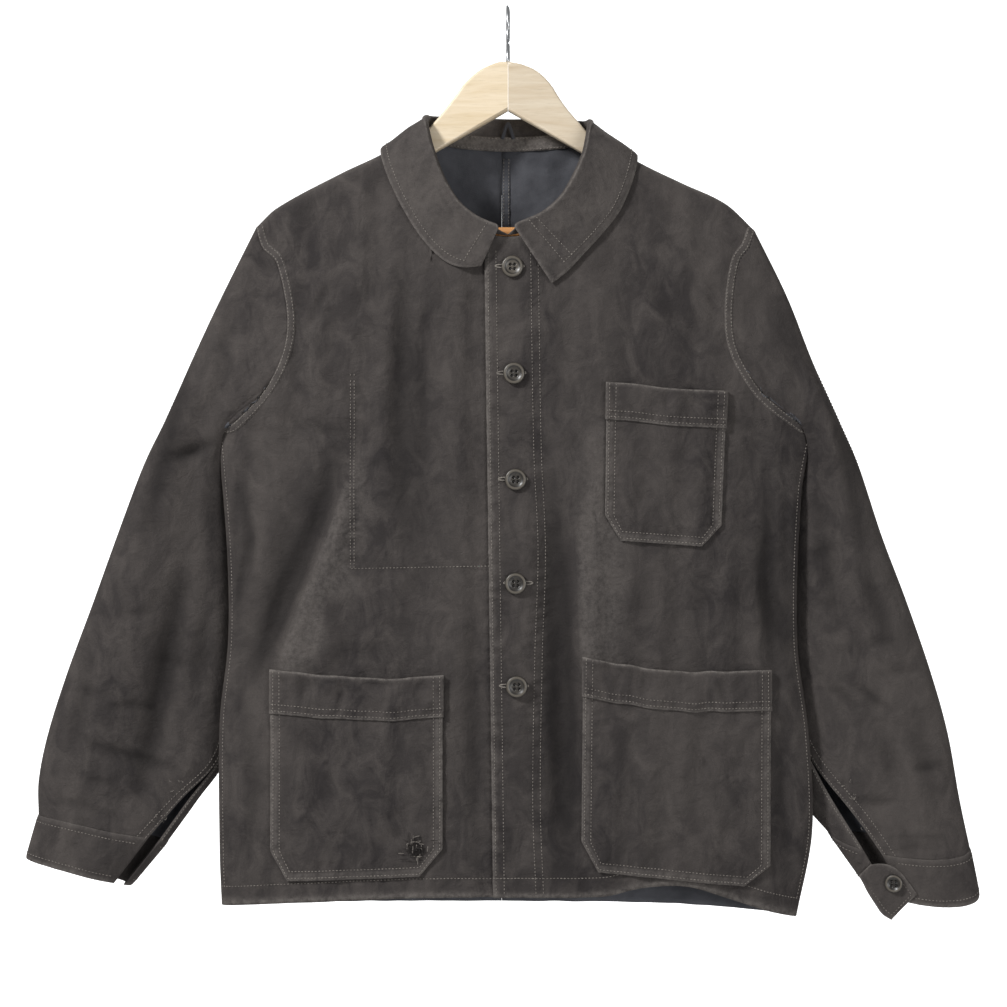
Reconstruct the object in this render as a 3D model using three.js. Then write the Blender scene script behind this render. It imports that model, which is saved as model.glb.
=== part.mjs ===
// A buttoned work jacket of brown moleskin hanging on a wooden hanger.
// Lengths are millimetres. X runs to the wearer's left, Y to the back and Z up.
// Heights in the tables are taken from the hanger's crown, HOOK_DROP below the hook's inner top.
import * as THREE from "three";

// Rows of a table with a name for each column.
function named(columns, rows) {
  return rows.map((row) => Object.fromEntries(columns.map((column, i) => [column, row[i]])));
}

// Driving sizes
const CLOTH = 2.0; // wall of one layer of moleskin
const DOUBLE = 2.8; // wall of a folded band of moleskin
const TAPE = 1.2; // wall of the neck tape and the hanging loop
const SEAM = 0.3; // clear space between sewn pieces
const HOOK_DROP = 50; // crown of the hanger below the hook's inner top
const FRONT = -1; // side of the cloth that faces -Y
const BACK = 1;
const LEFT = 1; // the wearer's left, at +X
const RIGHT = -1;

// Depth of the body's hollow form
const SHOULDER_ROUND = 12.5; // outer radius of the cloth over the hanger's arm
const CHEST_DEEP = { [FRONT]: 36, [BACK]: 31 }; // half depth of the chest to the front and the back
const CHEST_FALL = 110; // how far under the shoulder line the depth is mostly reached
const EDGE_POWER = 2.4; // how square the body's section is towards its side seams
const NECK_ROOM = { [FRONT]: 5, [BACK]: 13 }; // extra depth round the neck
const SLEEVE_REACH = 44; // how far the section widens above the underarm
const HEM_FLARE = 3; // extra depth at the hem

// Side seams of the body, from the hem to the underarm
const SIDE_EDGES = {
  [RIGHT]: [
    { z: -800, x: -272 },
    { z: -749, x: -274 },
    { z: -627, x: -274 },
    { z: -549, x: -266 },
    { z: -464, x: -267 },
    { z: -351, x: -276 },
  ],
  [LEFT]: [
    { z: -811, x: 274 },
    { z: -731, x: 289 },
    { z: -639, x: 286 },
    { z: -549, x: 275 },
    { z: -410, x: 279 },
    { z: -350, x: 290 },
  ],
};

// Shoulder lines, from the middle outwards to the shoulder tip
const SHOULDERS = {
  [RIGHT]: [
    { out: 0, z: -30 },
    { out: 84, z: -66 },
    { out: 121, z: -88 },
    { out: 159, z: -106 },
    { out: 220, z: -139 },
    { out: 239, z: -157 },
  ],
  [LEFT]: [
    { out: 0, z: -30 },
    { out: 84, z: -70 },
    { out: 124, z: -95 },
    { out: 165, z: -115 },
    { out: 207, z: -135 },
    { out: 234, z: -160 },
  ],
};

// Armhole seams seen from the front, from the underarm to the shoulder tip
const ARMHOLES = {
  [RIGHT]: [
    { x: -276, z: -351 },
    { x: -256, z: -341 },
    { x: -227, z: -310 },
    { x: -211, z: -276 },
    { x: -208, z: -240 },
    { x: -218, z: -194 },
    { x: -232, z: -178 },
    { x: -239, z: -157 },
  ],
  [LEFT]: [
    { x: 290, z: -350 },
    { x: 274, z: -342 },
    { x: 240, z: -316 },
    { x: 216, z: -277 },
    { x: 211, z: -240 },
    { x: 217, z: -194 },
    { x: 227, z: -178 },
    { x: 234, z: -160 },
  ],
};

// Hems, from the wearer's right to the left; the front one lifts in a wave beside the left pocket
const HEMS = {
  [FRONT]: [
    { x: -272, z: -800 },
    { x: -230, z: -796 },
    { x: -140, z: -790 },
    { x: -70, z: -787 },
    { x: 40, z: -787 },
    { x: 90, z: -786 },
    { x: 128, z: -778 },
    { x: 170, z: -778 },
    { x: 207, z: -790 },
    { x: 245, z: -803 },
    { x: 274, z: -811 },
  ],
  [BACK]: [
    { x: -272, z: -800 },
    { x: -180, z: -802 },
    { x: 0, z: -803 },
    { x: 150, z: -804 },
    { x: 230, z: -808 },
    { x: 274, z: -811 },
  ],
};

// Neckline and centre front
const NECK_WIDE = 84; // half width of the neckline on the shoulders
const NECK_TOP = { [RIGHT]: -66, [LEFT]: -70 }; // height of the neckline on the shoulders
const NECK_DROP = { [FRONT]: -170, [BACK]: -79 }; // lowest height of the neckline
const LAP_TOP = { x: -22, z: -175 }; // upper end of the left front's edge
const LAP_END = { x: -14, z: -788 }; // lower end of the left front's edge
const UNDERLAP = 24; // how far the right front reaches under the left
const LAP_STEP = CLOTH + 1.2; // how far the right front lies behind the left
const LAP_RAMP = 16; // width over which it steps back
const LAP_CLEAR = 9; // where the step ends, outside the left front's edge
const BACK_SEAM = -6; // place of the centre back seam

// Large soft folds of the body; from and to are x and z on the panel, a negative depth is a ridge
const BODY_FOLDS = [
  { face: FRONT, from: [-168, -340], to: [-262, -640], deep: 5, wide: 20 },
  { face: FRONT, from: [-128, -380], to: [-225, -640], deep: -3, wide: 22 },
  { face: FRONT, from: [42, -420], to: [56, -800], deep: 6, wide: 16 },
  { face: FRONT, from: [88, -330], to: [80, -600], deep: -3, wide: 24 },
  { face: FRONT, from: [232, -420], to: [268, -600], deep: 4, wide: 16 },
  { face: FRONT, from: [-92, -190], to: [-88, -560], deep: 3.5, wide: 18 },
  { face: BACK, from: [-60, -220], to: [-96, -800], deep: 5, wide: 22 },
  { face: BACK, from: [70, -260], to: [104, -800], deep: 5, wide: 22 },
  { face: BACK, from: [-180, -330], to: [-230, -700], deep: 5, wide: 20 },
  { face: BACK, from: [180, -340], to: [226, -700], deep: 5, wide: 20 },
];

// Sections of the sleeves from the armhole to the cuff: the outer and inner edge seen from the front,
// how far back each edge lies, the half depth, the drop of the front layer, the place of the inner
// seam on the front layer (0 at the inner edge, 1 at the outer) and the half width of the open vent
const SLEEVE_COLUMNS = ["at", "outX", "outZ", "inX", "inZ", "outY", "inY", "deep", "drop", "seam", "vent"];
const SLEEVES = {
  [RIGHT]: named(SLEEVE_COLUMNS, [
    [0, -239, -157, -276, -351, 0, 0, 20, 0, 0, 0],
    [1, -273, -225, -281, -352, 1, 4, 24, 0, 0, 0],
    [2, -300, -282, -282, -362, 3, 10, 27, 0, 0, 0],
    [3, -326, -340, -276, -388, 4, 17, 28, 0, 0.01, 0],
    [4, -347, -383, -268, -425, 6, 22, 28, 0, 0.02, 0],
    [5, -371, -446, -261, -490, 7, 25, 27, 0, 0.04, 0],
    [6, -396, -515, -260, -555, 8, 26, 27, 0, 0.06, 0],
    [7, -420, -580, -262, -615, 8, 26, 26, 0, 0.08, 0],
    [8, -438, -637, -271, -665, 7, 24, 24, 0, 0.12, 0],
    [9, -447, -682, -297, -703, 6, 18, 21, 0, 0.17, 4],
    [10, -447, -716, -325, -742, 5, 12, 17, 0, 0.2, 6],
  ]),
  [LEFT]: named(SLEEVE_COLUMNS, [
    [0, 234, -160, 290, -350, 0, 0, 20, 0, 0, 0],
    [1, 265, -223, 295, -351, 1, 4, 24, 0, 0, 0],
    [2, 289, -283, 296, -361, 3, 10, 27, 0, 0, 0],
    [3, 315, -341, 289, -388, 4, 17, 28, 0, 0.01, 0],
    [4, 334, -384, 280, -425, 6, 22, 28, 0, 0.02, 0],
    [5, 356, -450, 272, -490, 7, 25, 27, 0, 0.04, 0],
    [6, 380, -513, 269, -555, 8, 26, 27, 0, 0.06, 0],
    [7, 403, -580, 271, -615, 8, 27, 26, 0, 0.09, 0],
    [8, 419, -638, 275, -660, 7, 26, 24, 0, 0.18, 0],
    [9, 430, -700, 284, -705, 6, 22, 21, 6, 0.32, 4],
    [10, 440, -748, 306, -732, 5, 16, 17, 16, 0.37, 6],
  ]),
};
const SLEEVE_STEPS = 17; // rings along a sleeve
const HEAD_BLEND = 0.3; // share of the sleeve over which the armhole's form fades
const REAR_SEAM = 0.56; // place of the rear seam round a sleeve, counted from the inner edge over the front

// Long troughs of the sleeves: share of the length they run over, place across the layer, depth and half width
const SLEEVE_FOLDS = [
  { side: RIGHT, face: FRONT, from: 0.12, to: 0.62, across: [0.55, 0.42], deep: 7, wide: 0.13 },
  { side: RIGHT, face: FRONT, from: 0.5, to: 0.95, across: [0.5, 0.36], deep: 8, wide: 0.12 },
  { side: RIGHT, face: BACK, from: 0.2, to: 0.9, across: [0.5, 0.4], deep: 6, wide: 0.14 },
  { side: LEFT, face: FRONT, from: 0.14, to: 0.55, across: [0.5, 0.4], deep: 5, wide: 0.13 },
  { side: LEFT, face: FRONT, from: 0.62, to: 0.98, across: [0.62, 0.5], deep: 4, wide: 0.14 },
  { side: LEFT, face: BACK, from: 0.2, to: 0.9, across: [0.5, 0.4], deep: 6, wide: 0.14 },
];

// Cuffs: how far each edge of the sleeve runs on to the cuff's lower edge
const CUFFS = {
  [RIGHT]: { outX: -12, outZ: -42, inX: -36, inZ: -43 },
  [LEFT]: { outX: 9, outZ: -45, inX: 33, inZ: -46 },
};

// Buttoned tab over the front of the left cuff: its upper and lower edge from the inner end to the tip
const TAB = [
  { topX: 344, topZ: -762, lowX: 333, lowZ: -773 },
  { topX: 352, topZ: -761, lowX: 337, lowZ: -780 },
  { topX: 361, topZ: -762, lowX: 341, lowZ: -788 },
  { topX: 371, topZ: -768, lowX: 348, lowZ: -799 },
  { topX: 380, topZ: -779, lowX: 355, lowZ: -809 },
  { topX: 387, topZ: -789, lowX: 364, lowZ: -815 },
];
const TAB_STEPS = { along: 10, across: 4 };
const TAB_CLEAR = 0.9; // clear space under the tab
const TAB_UNDER = [-0.4, 0, 0.5, 1, 1.5]; // lengths of the cuff, past both of its ends, that carry the tab
const TAB_LEVEL = 0.28; // place across the cuff from which the tab runs straight on towards the inner edge
const TAB_OVER = 60; // and how far that straight run is reckoned
const TAB_READ = 22; // faces across the cuff from which the tab's place is read
const CUFF_SEAM = 0.5; // clear space between a sleeve and its cuff, along the cuff's edges
const CUFF_STEPS = 2; // faces down a cuff

// Collar: where its fold and its outer edge lie, from the right leaf's front end over the back
// to the left leaf's, and how far the fold stands off the neckline
const COLLAR = [
  { face: FRONT, foldX: -9, foldZ: -163, edgeX: -25, edgeZ: -198, lift: 6 },
  { face: FRONT, foldX: -19, foldZ: -159, edgeX: -44, edgeZ: -199, lift: 5 },
  { face: FRONT, foldX: -31, foldZ: -153, edgeX: -62, edgeZ: -191, lift: 6 },
  { face: FRONT, foldX: -46, foldZ: -140, edgeX: -82, edgeZ: -170, lift: 7 },
  { face: FRONT, foldX: -60, foldZ: -117, edgeX: -101, edgeZ: -139, lift: 7 },
  { face: FRONT, foldX: -71, foldZ: -88, edgeX: -114, edgeZ: -111, lift: 7 },
  { face: FRONT, foldX: -77, foldZ: -63, edgeX: -120, edgeZ: -92, lift: 5 },
  { face: 0, foldX: -78, foldZ: -54, edgeX: -121, edgeZ: -82, lift: 0 },
  { face: BACK, foldX: -73, foldZ: -55, edgeX: -116, edgeZ: -96, lift: 3 },
  { face: BACK, foldX: -56, foldZ: -58, edgeX: -92, edgeZ: -114, lift: 5 },
  { face: BACK, foldX: -30, foldZ: -61, edgeX: -50, edgeZ: -120, lift: 6 },
  { face: BACK, foldX: 0, foldZ: -62, edgeX: 0, edgeZ: -121, lift: 6 },
  { face: BACK, foldX: 30, foldZ: -62, edgeX: 50, edgeZ: -121, lift: 6 },
  { face: BACK, foldX: 56, foldZ: -61, edgeX: 92, edgeZ: -117, lift: 5 },
  { face: BACK, foldX: 73, foldZ: -59, edgeX: 118, edgeZ: -101, lift: 3 },
  { face: 0, foldX: 78, foldZ: -58, edgeX: 123, edgeZ: -88, lift: 0 },
  { face: FRONT, foldX: 76, foldZ: -68, edgeX: 122, edgeZ: -99, lift: 5 },
  { face: FRONT, foldX: 71, foldZ: -92, edgeX: 116, edgeZ: -120, lift: 7 },
  { face: FRONT, foldX: 60, foldZ: -117, edgeX: 105, edgeZ: -145, lift: 7 },
  { face: FRONT, foldX: 48, foldZ: -136, edgeX: 89, edgeZ: -166, lift: 7 },
  { face: FRONT, foldX: 32, foldZ: -150, edgeX: 71, edgeZ: -186, lift: 6 },
  { face: FRONT, foldX: 17, foldZ: -157, edgeX: 55, edgeZ: -203, lift: 5 },
  { face: FRONT, foldX: 6, foldZ: -162, edgeX: 41, edgeZ: -214, lift: 6 },
];
const COLLAR_ROUND = 3.4; // outer radius of the collar's fold
const COLLAR_STEPS = 2; // sections between two stations
const FALL_STEPS = 4; // faces across the fall

const COLLAR_STAND = 8; // how far the neckline lies under the fold on the front
const COLLAR_BACK_WIDE = 78; // half width of the fold across the back
const COLLAR_TURN = -1; // side of the collar's outer surface on which its wall lies
const FALL_CLEAR = 2; // clear space under the fall
const STAND_CLEAR = 2.9; // clear space under the stand
const FALL_BOW = 2; // how far the fall stands off the panel at its middle

// Neck tape and hanging loop
const BAND_HALF = 61; // half length of the tape
const BAND_LOW = 2; // how far it reaches under the neckline
const BAND_HIGH = 12; // and above it
const BAND_STEPS = 12;
const BAND_CLEAR = 1.5; // clear space between the tape and the back
const LOOP = { foot: 7, top: -52, rise: 17, width: 3.5, clear: 0.6 };

// Patch pockets: corners, and how far the chamfers of the lower corners run across and up
const POCKETS = [
  {
    name: "chest_pocket", topIn: [92, -306], topOut: [205, -314],
    lowIn: [90, -453], lowOut: [199, -461], cutIn: [15, 23], cutOut: [18, 21], band: 35,
  },
  {
    name: "lower_pocket_left", topIn: [70, -562], topOut: [247, -576],
    lowIn: [68, -761], lowOut: [246, -781], cutIn: [16, 27], cutOut: [25, 21], band: 37,
  },
  {
    name: "lower_pocket_right", topIn: [-61, -579], topOut: [-223, -575],
    lowIn: [-61, -766], lowOut: [-223, -774], cutIn: [22, 25], cutOut: [16, 27], band: 39,
  },
];
const POCKET_COLUMNS = 9;
const POCKET_CLEAR = 0.9; // clear space under a pocket
const POCKET_ROWS = 8;
const BAND_PROUD = 1; // how far a band stands past its pocket's sides

// Buttons
const BUTTON_ROUND = 10.2; // outer radius
const BUTTON_RIM = 3.4; // height at the rim
const BUTTON_DISH = 2.2; // height of the dished middle
const BUTTON_SIDES = 18;
const BUTTON_CLEAR = 0.6; // clear space between a button and the curved panel
const FRONT_BUTTONS = [
  { x: 4, z: -198 },
  { x: 5.5, z: -298 },
  { x: 7, z: -397 },
  { x: 7, z: -494 },
  { x: 8, z: -590 },
];
const CUFF_BUTTON = { x: 363, z: -781, round: 8.6, clear: 0.6 };

// Hanger
const BOARD = 11; // thickness of the boards
const ARM_END = 214; // half length of the hanger
const ARM_SINK = 7.6; // how far the arm's top lies under the top of the cloth
const ARM_HIGH = { neck: 24, end: 14 }; // height of an arm at the neck and at its end
const ARM_EAR = -172; // lower end of the ears that hold the bar
const EAR_WIDE = 12;
const BAR_HIGH = -162; // height of the trouser bar
const BAR_ROUND = 5;
const ARM_STEPS = 8;
const CROWN = {
  [RIGHT]: [[0, -0.3], [10, -1], [27, -8.5], [41, -21], [50, -33], [64, -51]],
  [LEFT]: [[0, -0.3], [14, -3], [28, -9.5], [40, -21], [47, -32], [56, -45], [69, -60]],
};
const THROAT = { top: -46.6, out: 69, low: -86 }; // notch under the crown

// Hook of steel wire, turned edge on
const WIRE = 1.9; // radius
const HOOK_INNER = 16; // inner radius of the hook
const HOOK_FROM = 2.75; // turn where the stem meets the loop, in radians from its top
const HOOK_TO = -1.9; // turn where the wire ends
const HOOK_STEPS = 14;

const lerp = THREE.MathUtils.lerp;
const clamp = THREE.MathUtils.clamp;

// Reads a table at a value of its key column, smoothly between its rows.
function readRow(rows, key, value) {
  const last = rows.length - 1;
  let i = 0;
  while (i < last - 1 && value > rows[i + 1][key]) i += 1;
  const a = rows[i];
  const b = rows[i + 1];
  const before = rows[Math.max(i - 1, 0)];
  const after = rows[Math.min(i + 2, last)];
  const span = b[key] - a[key];
  const t = clamp((value - a[key]) / span, 0, 1);
  const row = {};
  for (const column of Object.keys(a)) {
    const slopeA = ((b[column] - before[column]) / (b[key] - before[key])) * span;
    const slopeB = ((after[column] - a[column]) / (after[key] - a[key])) * span;
    const rise = b[column] - a[column];
    const bend = (1 - t) * (slopeA - rise) + t * (rise - slopeB);
    row[column] = a[column] + t * rise + t * (1 - t) * bend;
  }
  return row;
}

// Point on a smooth line through the rows of a table, by its share of the rows.
function alongRows(rows, share) {
  const numbered = rows.map((row, index) => ({ ...row, index }));
  return readRow(numbered, "index", share * (rows.length - 1));
}

function shoulderLine(x) {
  return readRow(SHOULDERS[x < 0 ? RIGHT : LEFT], "out", Math.abs(x)).z;
}

// Side of the body's section at a height. Above the underarm it reaches out into the sleeve.
function sideReach(side, z) {
  const rows = SIDE_EDGES[side];
  const top = rows[rows.length - 1];
  const above = Math.max(z - top.z, 0);
  return Math.abs(readRow(rows, "z", Math.min(z, top.z)).x) + SLEEVE_REACH * (1 - Math.exp(-above / 25));
}

function foldDepth(folds, face, x, z) {
  let sum = 0;
  for (const fold of folds) {
    const alongX = fold.to[0] - fold.from[0];
    const alongZ = fold.to[1] - fold.from[1];
    const long = Math.hypot(alongX, alongZ);
    const run = ((x - fold.from[0]) * alongX + (z - fold.from[1]) * alongZ) / (long * long);
    const off = ((x - fold.from[0]) * alongZ - (z - fold.from[1]) * alongX) / long;
    if (fold.face === face && run > 0 && run < 1) {
      sum += fold.deep * Math.sin(Math.PI * run) * Math.exp(-((off / fold.wide) ** 2));
    }
  }
  return sum;
}

// Distance of the body's outer surface from the plane of the side seams.
function bodyDepth(x, z, face) {
  const u = clamp(Math.abs(x) / sideReach(x < 0 ? RIGHT : LEFT, z), 0, 1);
  const round = Math.sqrt(1 - u ** EDGE_POWER);
  const below = Math.max(shoulderLine(x) - z, 0);
  const over = SHOULDER_ROUND * Math.sqrt(1 - (1 - Math.min(below / SHOULDER_ROUND, 1)) ** 2);
  const fall = 1 - Math.exp(-((below / CHEST_FALL) ** 1.5));
  const flare = HEM_FLARE * clamp((-350 - z) / 450, 0, 1) ** 2;
  const neck = NECK_ROOM[face] * Math.exp(-((x / 90) ** 2) - ((z + 95) / 75) ** 2) * Math.min(below / 20, 1);
  const full = over + (CHEST_DEEP[face] - SHOULDER_ROUND) * fall + flare + neck;
  return full * round - foldDepth(BODY_FOLDS, face, x, z) * Math.min(full / CHEST_DEEP[face], 1) * round;
}

// Place of the left front's edge at a height.
function lapEdge(z) {
  return lerp(LAP_TOP.x, LAP_END.x, (z - LAP_TOP.z) / (LAP_END.z - LAP_TOP.z));
}

// How far the right front lies behind the left.
function lapStep(x, z) {
  return LAP_STEP * THREE.MathUtils.smoothstep(x, lapEdge(z) - LAP_RAMP - LAP_CLEAR, lapEdge(z) - LAP_CLEAR);
}

// Body panels. Each is a grid that runs across from the centre edge (0) to the side (1)
// and up from the hem (0) over the underarm (SIDE_SHARE) to the shoulder (1).
const SIDE_SHARE = 0.5;
const NECK_SHARE = 0.38;
const OUTWARD = [NECK_SHARE, 0.52, 0.66, 0.79, 0.89, 0.95, 0.985, 1];
const ACROSS = [0, 0.07, 0.14, 0.21, 0.28, 0.34, 0.368, ...OUTWARD];
const ACROSS_UNDERLAP = [0, 0.07, 0.13, 0.165, 0.2, 0.25, 0.32, 0.365, ...OUTWARD];
const ARMHOLE_STOPS = [0, 0.04, 0.13, 0.27, 0.43, 0.59, 0.75, 0.88, 0.955, 0.988, 1];
const SIDE_STOPS = 9;
const UPWARD = [
  ...Array.from({ length: SIDE_STOPS }, (_, i) => (SIDE_SHARE * i) / SIDE_STOPS),
  ...ARMHOLE_STOPS.map((stop) => SIDE_SHARE + (1 - SIDE_SHARE) * stop),
];

const PANELS = {
  front_left: { side: LEFT, face: FRONT, centre: (z) => lapEdge(z), step: () => 0 },
  front_right: { side: RIGHT, face: FRONT, centre: () => UNDERLAP, step: lapStep, across: ACROSS_UNDERLAP },
  back_left: { side: LEFT, face: BACK, centre: () => BACK_SEAM + SEAM / 2, step: () => 0 },
  back_right: { side: RIGHT, face: BACK, centre: () => BACK_SEAM - SEAM / 2, step: () => 0 },
};

function neckline(side, face, turn) {
  const drop = NECK_DROP[face] - NECK_TOP[side];
  return { x: side * NECK_WIDE * Math.sin(turn), z: NECK_TOP[side] + drop * Math.cos(turn) };
}

function panelTop(panel, u) {
  if (u <= NECK_SHARE) {
    const start = Math.asin((panel.side * panel.centre(NECK_DROP[panel.face])) / NECK_WIDE);
    return neckline(panel.side, panel.face, lerp(start, Math.PI / 2, u / NECK_SHARE));
  }
  const tip = ARMHOLES[panel.side].at(-1);
  const x = lerp(panel.side * NECK_WIDE, tip.x, (u - NECK_SHARE) / (1 - NECK_SHARE));
  return { x, z: shoulderLine(x) };
}

function panelHem(panel, u) {
  const rows = HEMS[panel.face];
  const corner = SIDE_EDGES[panel.side][0];
  const x = lerp(panel.centre(LAP_END.z), corner.x, u);
  return { x, z: readRow(rows, "x", x).z };
}

function panelSide(panel, v) {
  if (v >= SIDE_SHARE) return alongRows(ARMHOLES[panel.side], (v - SIDE_SHARE) / (1 - SIDE_SHARE));
  const rows = SIDE_EDGES[panel.side];
  const z = lerp(rows[0].z, rows.at(-1).z, v / SIDE_SHARE);
  return { x: readRow(rows, "z", z).x, z };
}

function panelCentre(panel, v) {
  const z = lerp(panelHem(panel, 0).z, panelTop(panel, 0).z, v);
  return { x: lerp(panel.centre(z), panelTop(panel, 0).x, v ** 8), z };
}

// Place of a panel's point seen from the front, blended from its four edges.
function panelPlace(panel, u, v) {
  const low = panelHem(panel, u);
  const top = panelTop(panel, u);
  const mid = panelCentre(panel, v);
  const side = panelSide(panel, v);
  const corners = [panelHem(panel, 0), panelHem(panel, 1), panelTop(panel, 0), panelTop(panel, 1)];
  const blend = (axis) =>
    lerp(low[axis], top[axis], v) + lerp(mid[axis], side[axis], u)
    - lerp(lerp(corners[0][axis], corners[1][axis], u), lerp(corners[2][axis], corners[3][axis], u), v);
  return { x: blend("x"), z: blend("z") };
}

function panelPoint(panel, u, v) {
  const { x, z } = panelPlace(panel, u, v);
  const deep = Math.max(bodyDepth(x, z, panel.face) - panel.step(x, z), SEAM / 2);
  return new THREE.Vector3(x, panel.face * deep, z);
}

// Unit normal of a surface given as a function of two shares.
function surfaceNormal(surface, u, v) {
  const near = 0.002;
  const u0 = Math.max(u - near, 0);
  const u1 = Math.min(u + near, 1);
  const v0 = Math.max(v - near, 0);
  const v1 = Math.min(v + near, 1);
  const across = surface(u1, v).sub(surface(u0, v));
  const up = surface(u, v1).sub(surface(u, v0));
  return across.cross(up).normalize();
}

// Sign that turns a surface's normal to face a given way at its middle.
function outwardSign(surface, way) {
  return Math.sign(surfaceNormal(surface, 0.5, 0.5).dot(way));
}

// Inner point of the wall under a panel's point, kept on its own side of the seams.
function panelInner(panel, u, v) {
  const surface = (a, b) => panelPoint(panel, a, b);
  const sign = outwardSign(surface, new THREE.Vector3(0, panel.face, 0));
  const point = surface(u, v).addScaledVector(surfaceNormal(surface, u, v), -sign * CLOTH);
  point.y = panel.face * Math.max(panel.face * point.y, SEAM / 2);
  return point;
}

// Closed wall from two grids of points with equal rows.
function wall(outer, inner) {
  const rows = outer.length;
  const columns = outer[0].length;
  const points = [...outer.flat(), ...inner.flat()];
  const index = [];
  const outerAt = (i, j) => i * columns + j;
  const innerAt = (i, j) => rows * columns + outerAt(i, j);
  const quad = (a, b, c, d) => index.push(a, b, c, a, c, d);
  for (let i = 0; i < rows - 1; i += 1) {
    for (let j = 0; j < columns - 1; j += 1) {
      quad(outerAt(i, j), outerAt(i, j + 1), outerAt(i + 1, j + 1), outerAt(i + 1, j));
      quad(innerAt(i, j), innerAt(i + 1, j), innerAt(i + 1, j + 1), innerAt(i, j + 1));
    }
    const j = columns - 1;
    quad(outerAt(i, 0), outerAt(i + 1, 0), innerAt(i + 1, 0), innerAt(i, 0));
    quad(outerAt(i, j), innerAt(i, j), innerAt(i + 1, j), outerAt(i + 1, j));
  }
  for (let j = 0; j < columns - 1; j += 1) {
    quad(outerAt(0, j), innerAt(0, j), innerAt(0, j + 1), outerAt(0, j + 1));
    quad(outerAt(rows - 1, j), outerAt(rows - 1, j + 1), innerAt(rows - 1, j + 1), innerAt(rows - 1, j));
  }
  return closedGeometry(points, index);
}

// Geometry with its faces turned outwards.
function closedGeometry(points, index) {
  let volume = 0;
  for (let i = 0; i < index.length; i += 3) {
    const [a, b, c] = [points[index[i]], points[index[i + 1]], points[index[i + 2]]];
    volume += a.dot(b.clone().cross(c));
  }
  const turned = volume < 0 ? index.toReversed() : index;
  const geometry = new THREE.BufferGeometry();
  geometry.setAttribute("position", new THREE.Float32BufferAttribute(points.flatMap((p) => p.toArray()), 3));
  geometry.setIndex(turned);
  geometry.computeVertexNormals();
  return geometry;
}

function grid(across, up, point) {
  return up.map((v) => across.map((u) => point(u, v)));
}

function steps(count) {
  return Array.from({ length: count + 1 }, (_, i) => i / count);
}

// Materials
const cloth = (color) => new THREE.MeshStandardMaterial({ color, roughness: 0.95, metalness: 0 });
const moleskin = cloth(0x46423f);
const moleskinWorn = cloth(0x524d49);
const moleskinInside = cloth(0x38393c);
const button = new THREE.MeshStandardMaterial({ color: 0x2f2b27, roughness: 0.4, metalness: 0 });
const wood = new THREE.MeshStandardMaterial({ color: 0xe6d9bd, roughness: 0.55, metalness: 0 });
const barWood = new THREE.MeshStandardMaterial({ color: 0xc98f55, roughness: 0.5, metalness: 0 });
const steel = new THREE.MeshStandardMaterial({ color: 0xb9bcbe, roughness: 0.3, metalness: 1 });

const jacket = new THREE.Group();
jacket.position.z = -HOOK_DROP;

function add(name, geometry, material) {
  const mesh = new THREE.Mesh(geometry, material);
  mesh.name = name;
  jacket.add(mesh);
  return mesh;
}

const SHEETS = {};

function bodyPanels() {
  for (const [name, panel] of Object.entries(PANELS)) {
    const across = panel.across ?? ACROSS;
    const outer = grid(across, UPWARD, (u, v) => panelPoint(panel, u, v));
    const inner = grid(across, UPWARD, (u, v) => panelInner(panel, u, v));
    SHEETS[name] = outer;
    add(name, wall(outer, inner), moleskin);
  }
}

// How far back a grid of points lies behind a place seen from the front, read from the grid's own faces.
function facetPlace(sheet, x, z) {
  for (let i = 0; i < sheet.length - 1; i += 1) {
    for (let j = 0; j < sheet[0].length - 1; j += 1) {
      const corners = [sheet[i][j], sheet[i][j + 1], sheet[i + 1][j + 1], sheet[i + 1][j]];
      for (const [a, b, c] of [[corners[0], corners[1], corners[2]], [corners[0], corners[2], corners[3]]]) {
        const area = (b.x - a.x) * (c.z - a.z) - (c.x - a.x) * (b.z - a.z);
        const shareB = ((x - a.x) * (c.z - a.z) - (c.x - a.x) * (z - a.z)) / area;
        const shareC = ((b.x - a.x) * (z - a.z) - (x - a.x) * (b.z - a.z)) / area;
        if (shareB >= 0 && shareC >= 0 && shareB + shareC <= 1) {
          return a.y + shareB * (b.y - a.y) + shareC * (c.y - a.y);
        }
      }
    }
  }
  return undefined;
}

// Distance of the cloth's outer face from the plane of the side seams.
function clothDepth(x, z, face) {
  const half = face === BACK ? (x < BACK_SEAM ? "right" : "left") : (x < lapEdge(z) ? "right" : "left");
  const y = facetPlace(SHEETS[`${face === BACK ? "back" : "front"}_${half}`], x, z);
  return y === undefined ? bodyDepth(x, z, face) : face * y;
}

// One ring point of a sleeve. Round runs from the inner edge (0) over the front, the outer edge (0.5)
// and the back to the inner edge again (1); along runs from the armhole (0) to the cuff (1).
function sleevePoint(side, round, along) {
  const turn = ((round % 1) + 1) % 1;
  const face = turn <= 0.5 ? FRONT : BACK;
  const w = turn <= 0.5 ? turn * 2 : (1 - turn) * 2;
  const rows = SLEEVES[side];
  const row = readRow(rows, "at", along * (rows.length - 1));
  const head = rows[0];
  const swing = (1 - Math.cos(Math.PI * w)) / 2;
  const arm = alongRows(ARMHOLES[side], w);
  const blend = THREE.MathUtils.smoothstep(along, 0, HEAD_BLEND);
  const x = lerp(row.inX, row.outX, swing) + (1 - blend) * (arm.x - lerp(head.inX, head.outX, swing));
  const z = lerp(row.inZ, row.outZ, swing) + (1 - blend) * (arm.z - lerp(head.inZ, head.outZ, swing));
  const bulge = Math.sin(Math.PI * w);
  const deep = lerp(Math.max(bodyDepth(arm.x, arm.z, face), SEAM / 2), row.deep * bulge, blend);
  const trough = sleeveFold(side, face, w, along) * bulge;
  const y = face * (deep - trough) + blend * lerp(row.inY, row.outY, swing);
  return new THREE.Vector3(x, y, z - (face === FRONT ? row.drop * bulge : 0));
}

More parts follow.
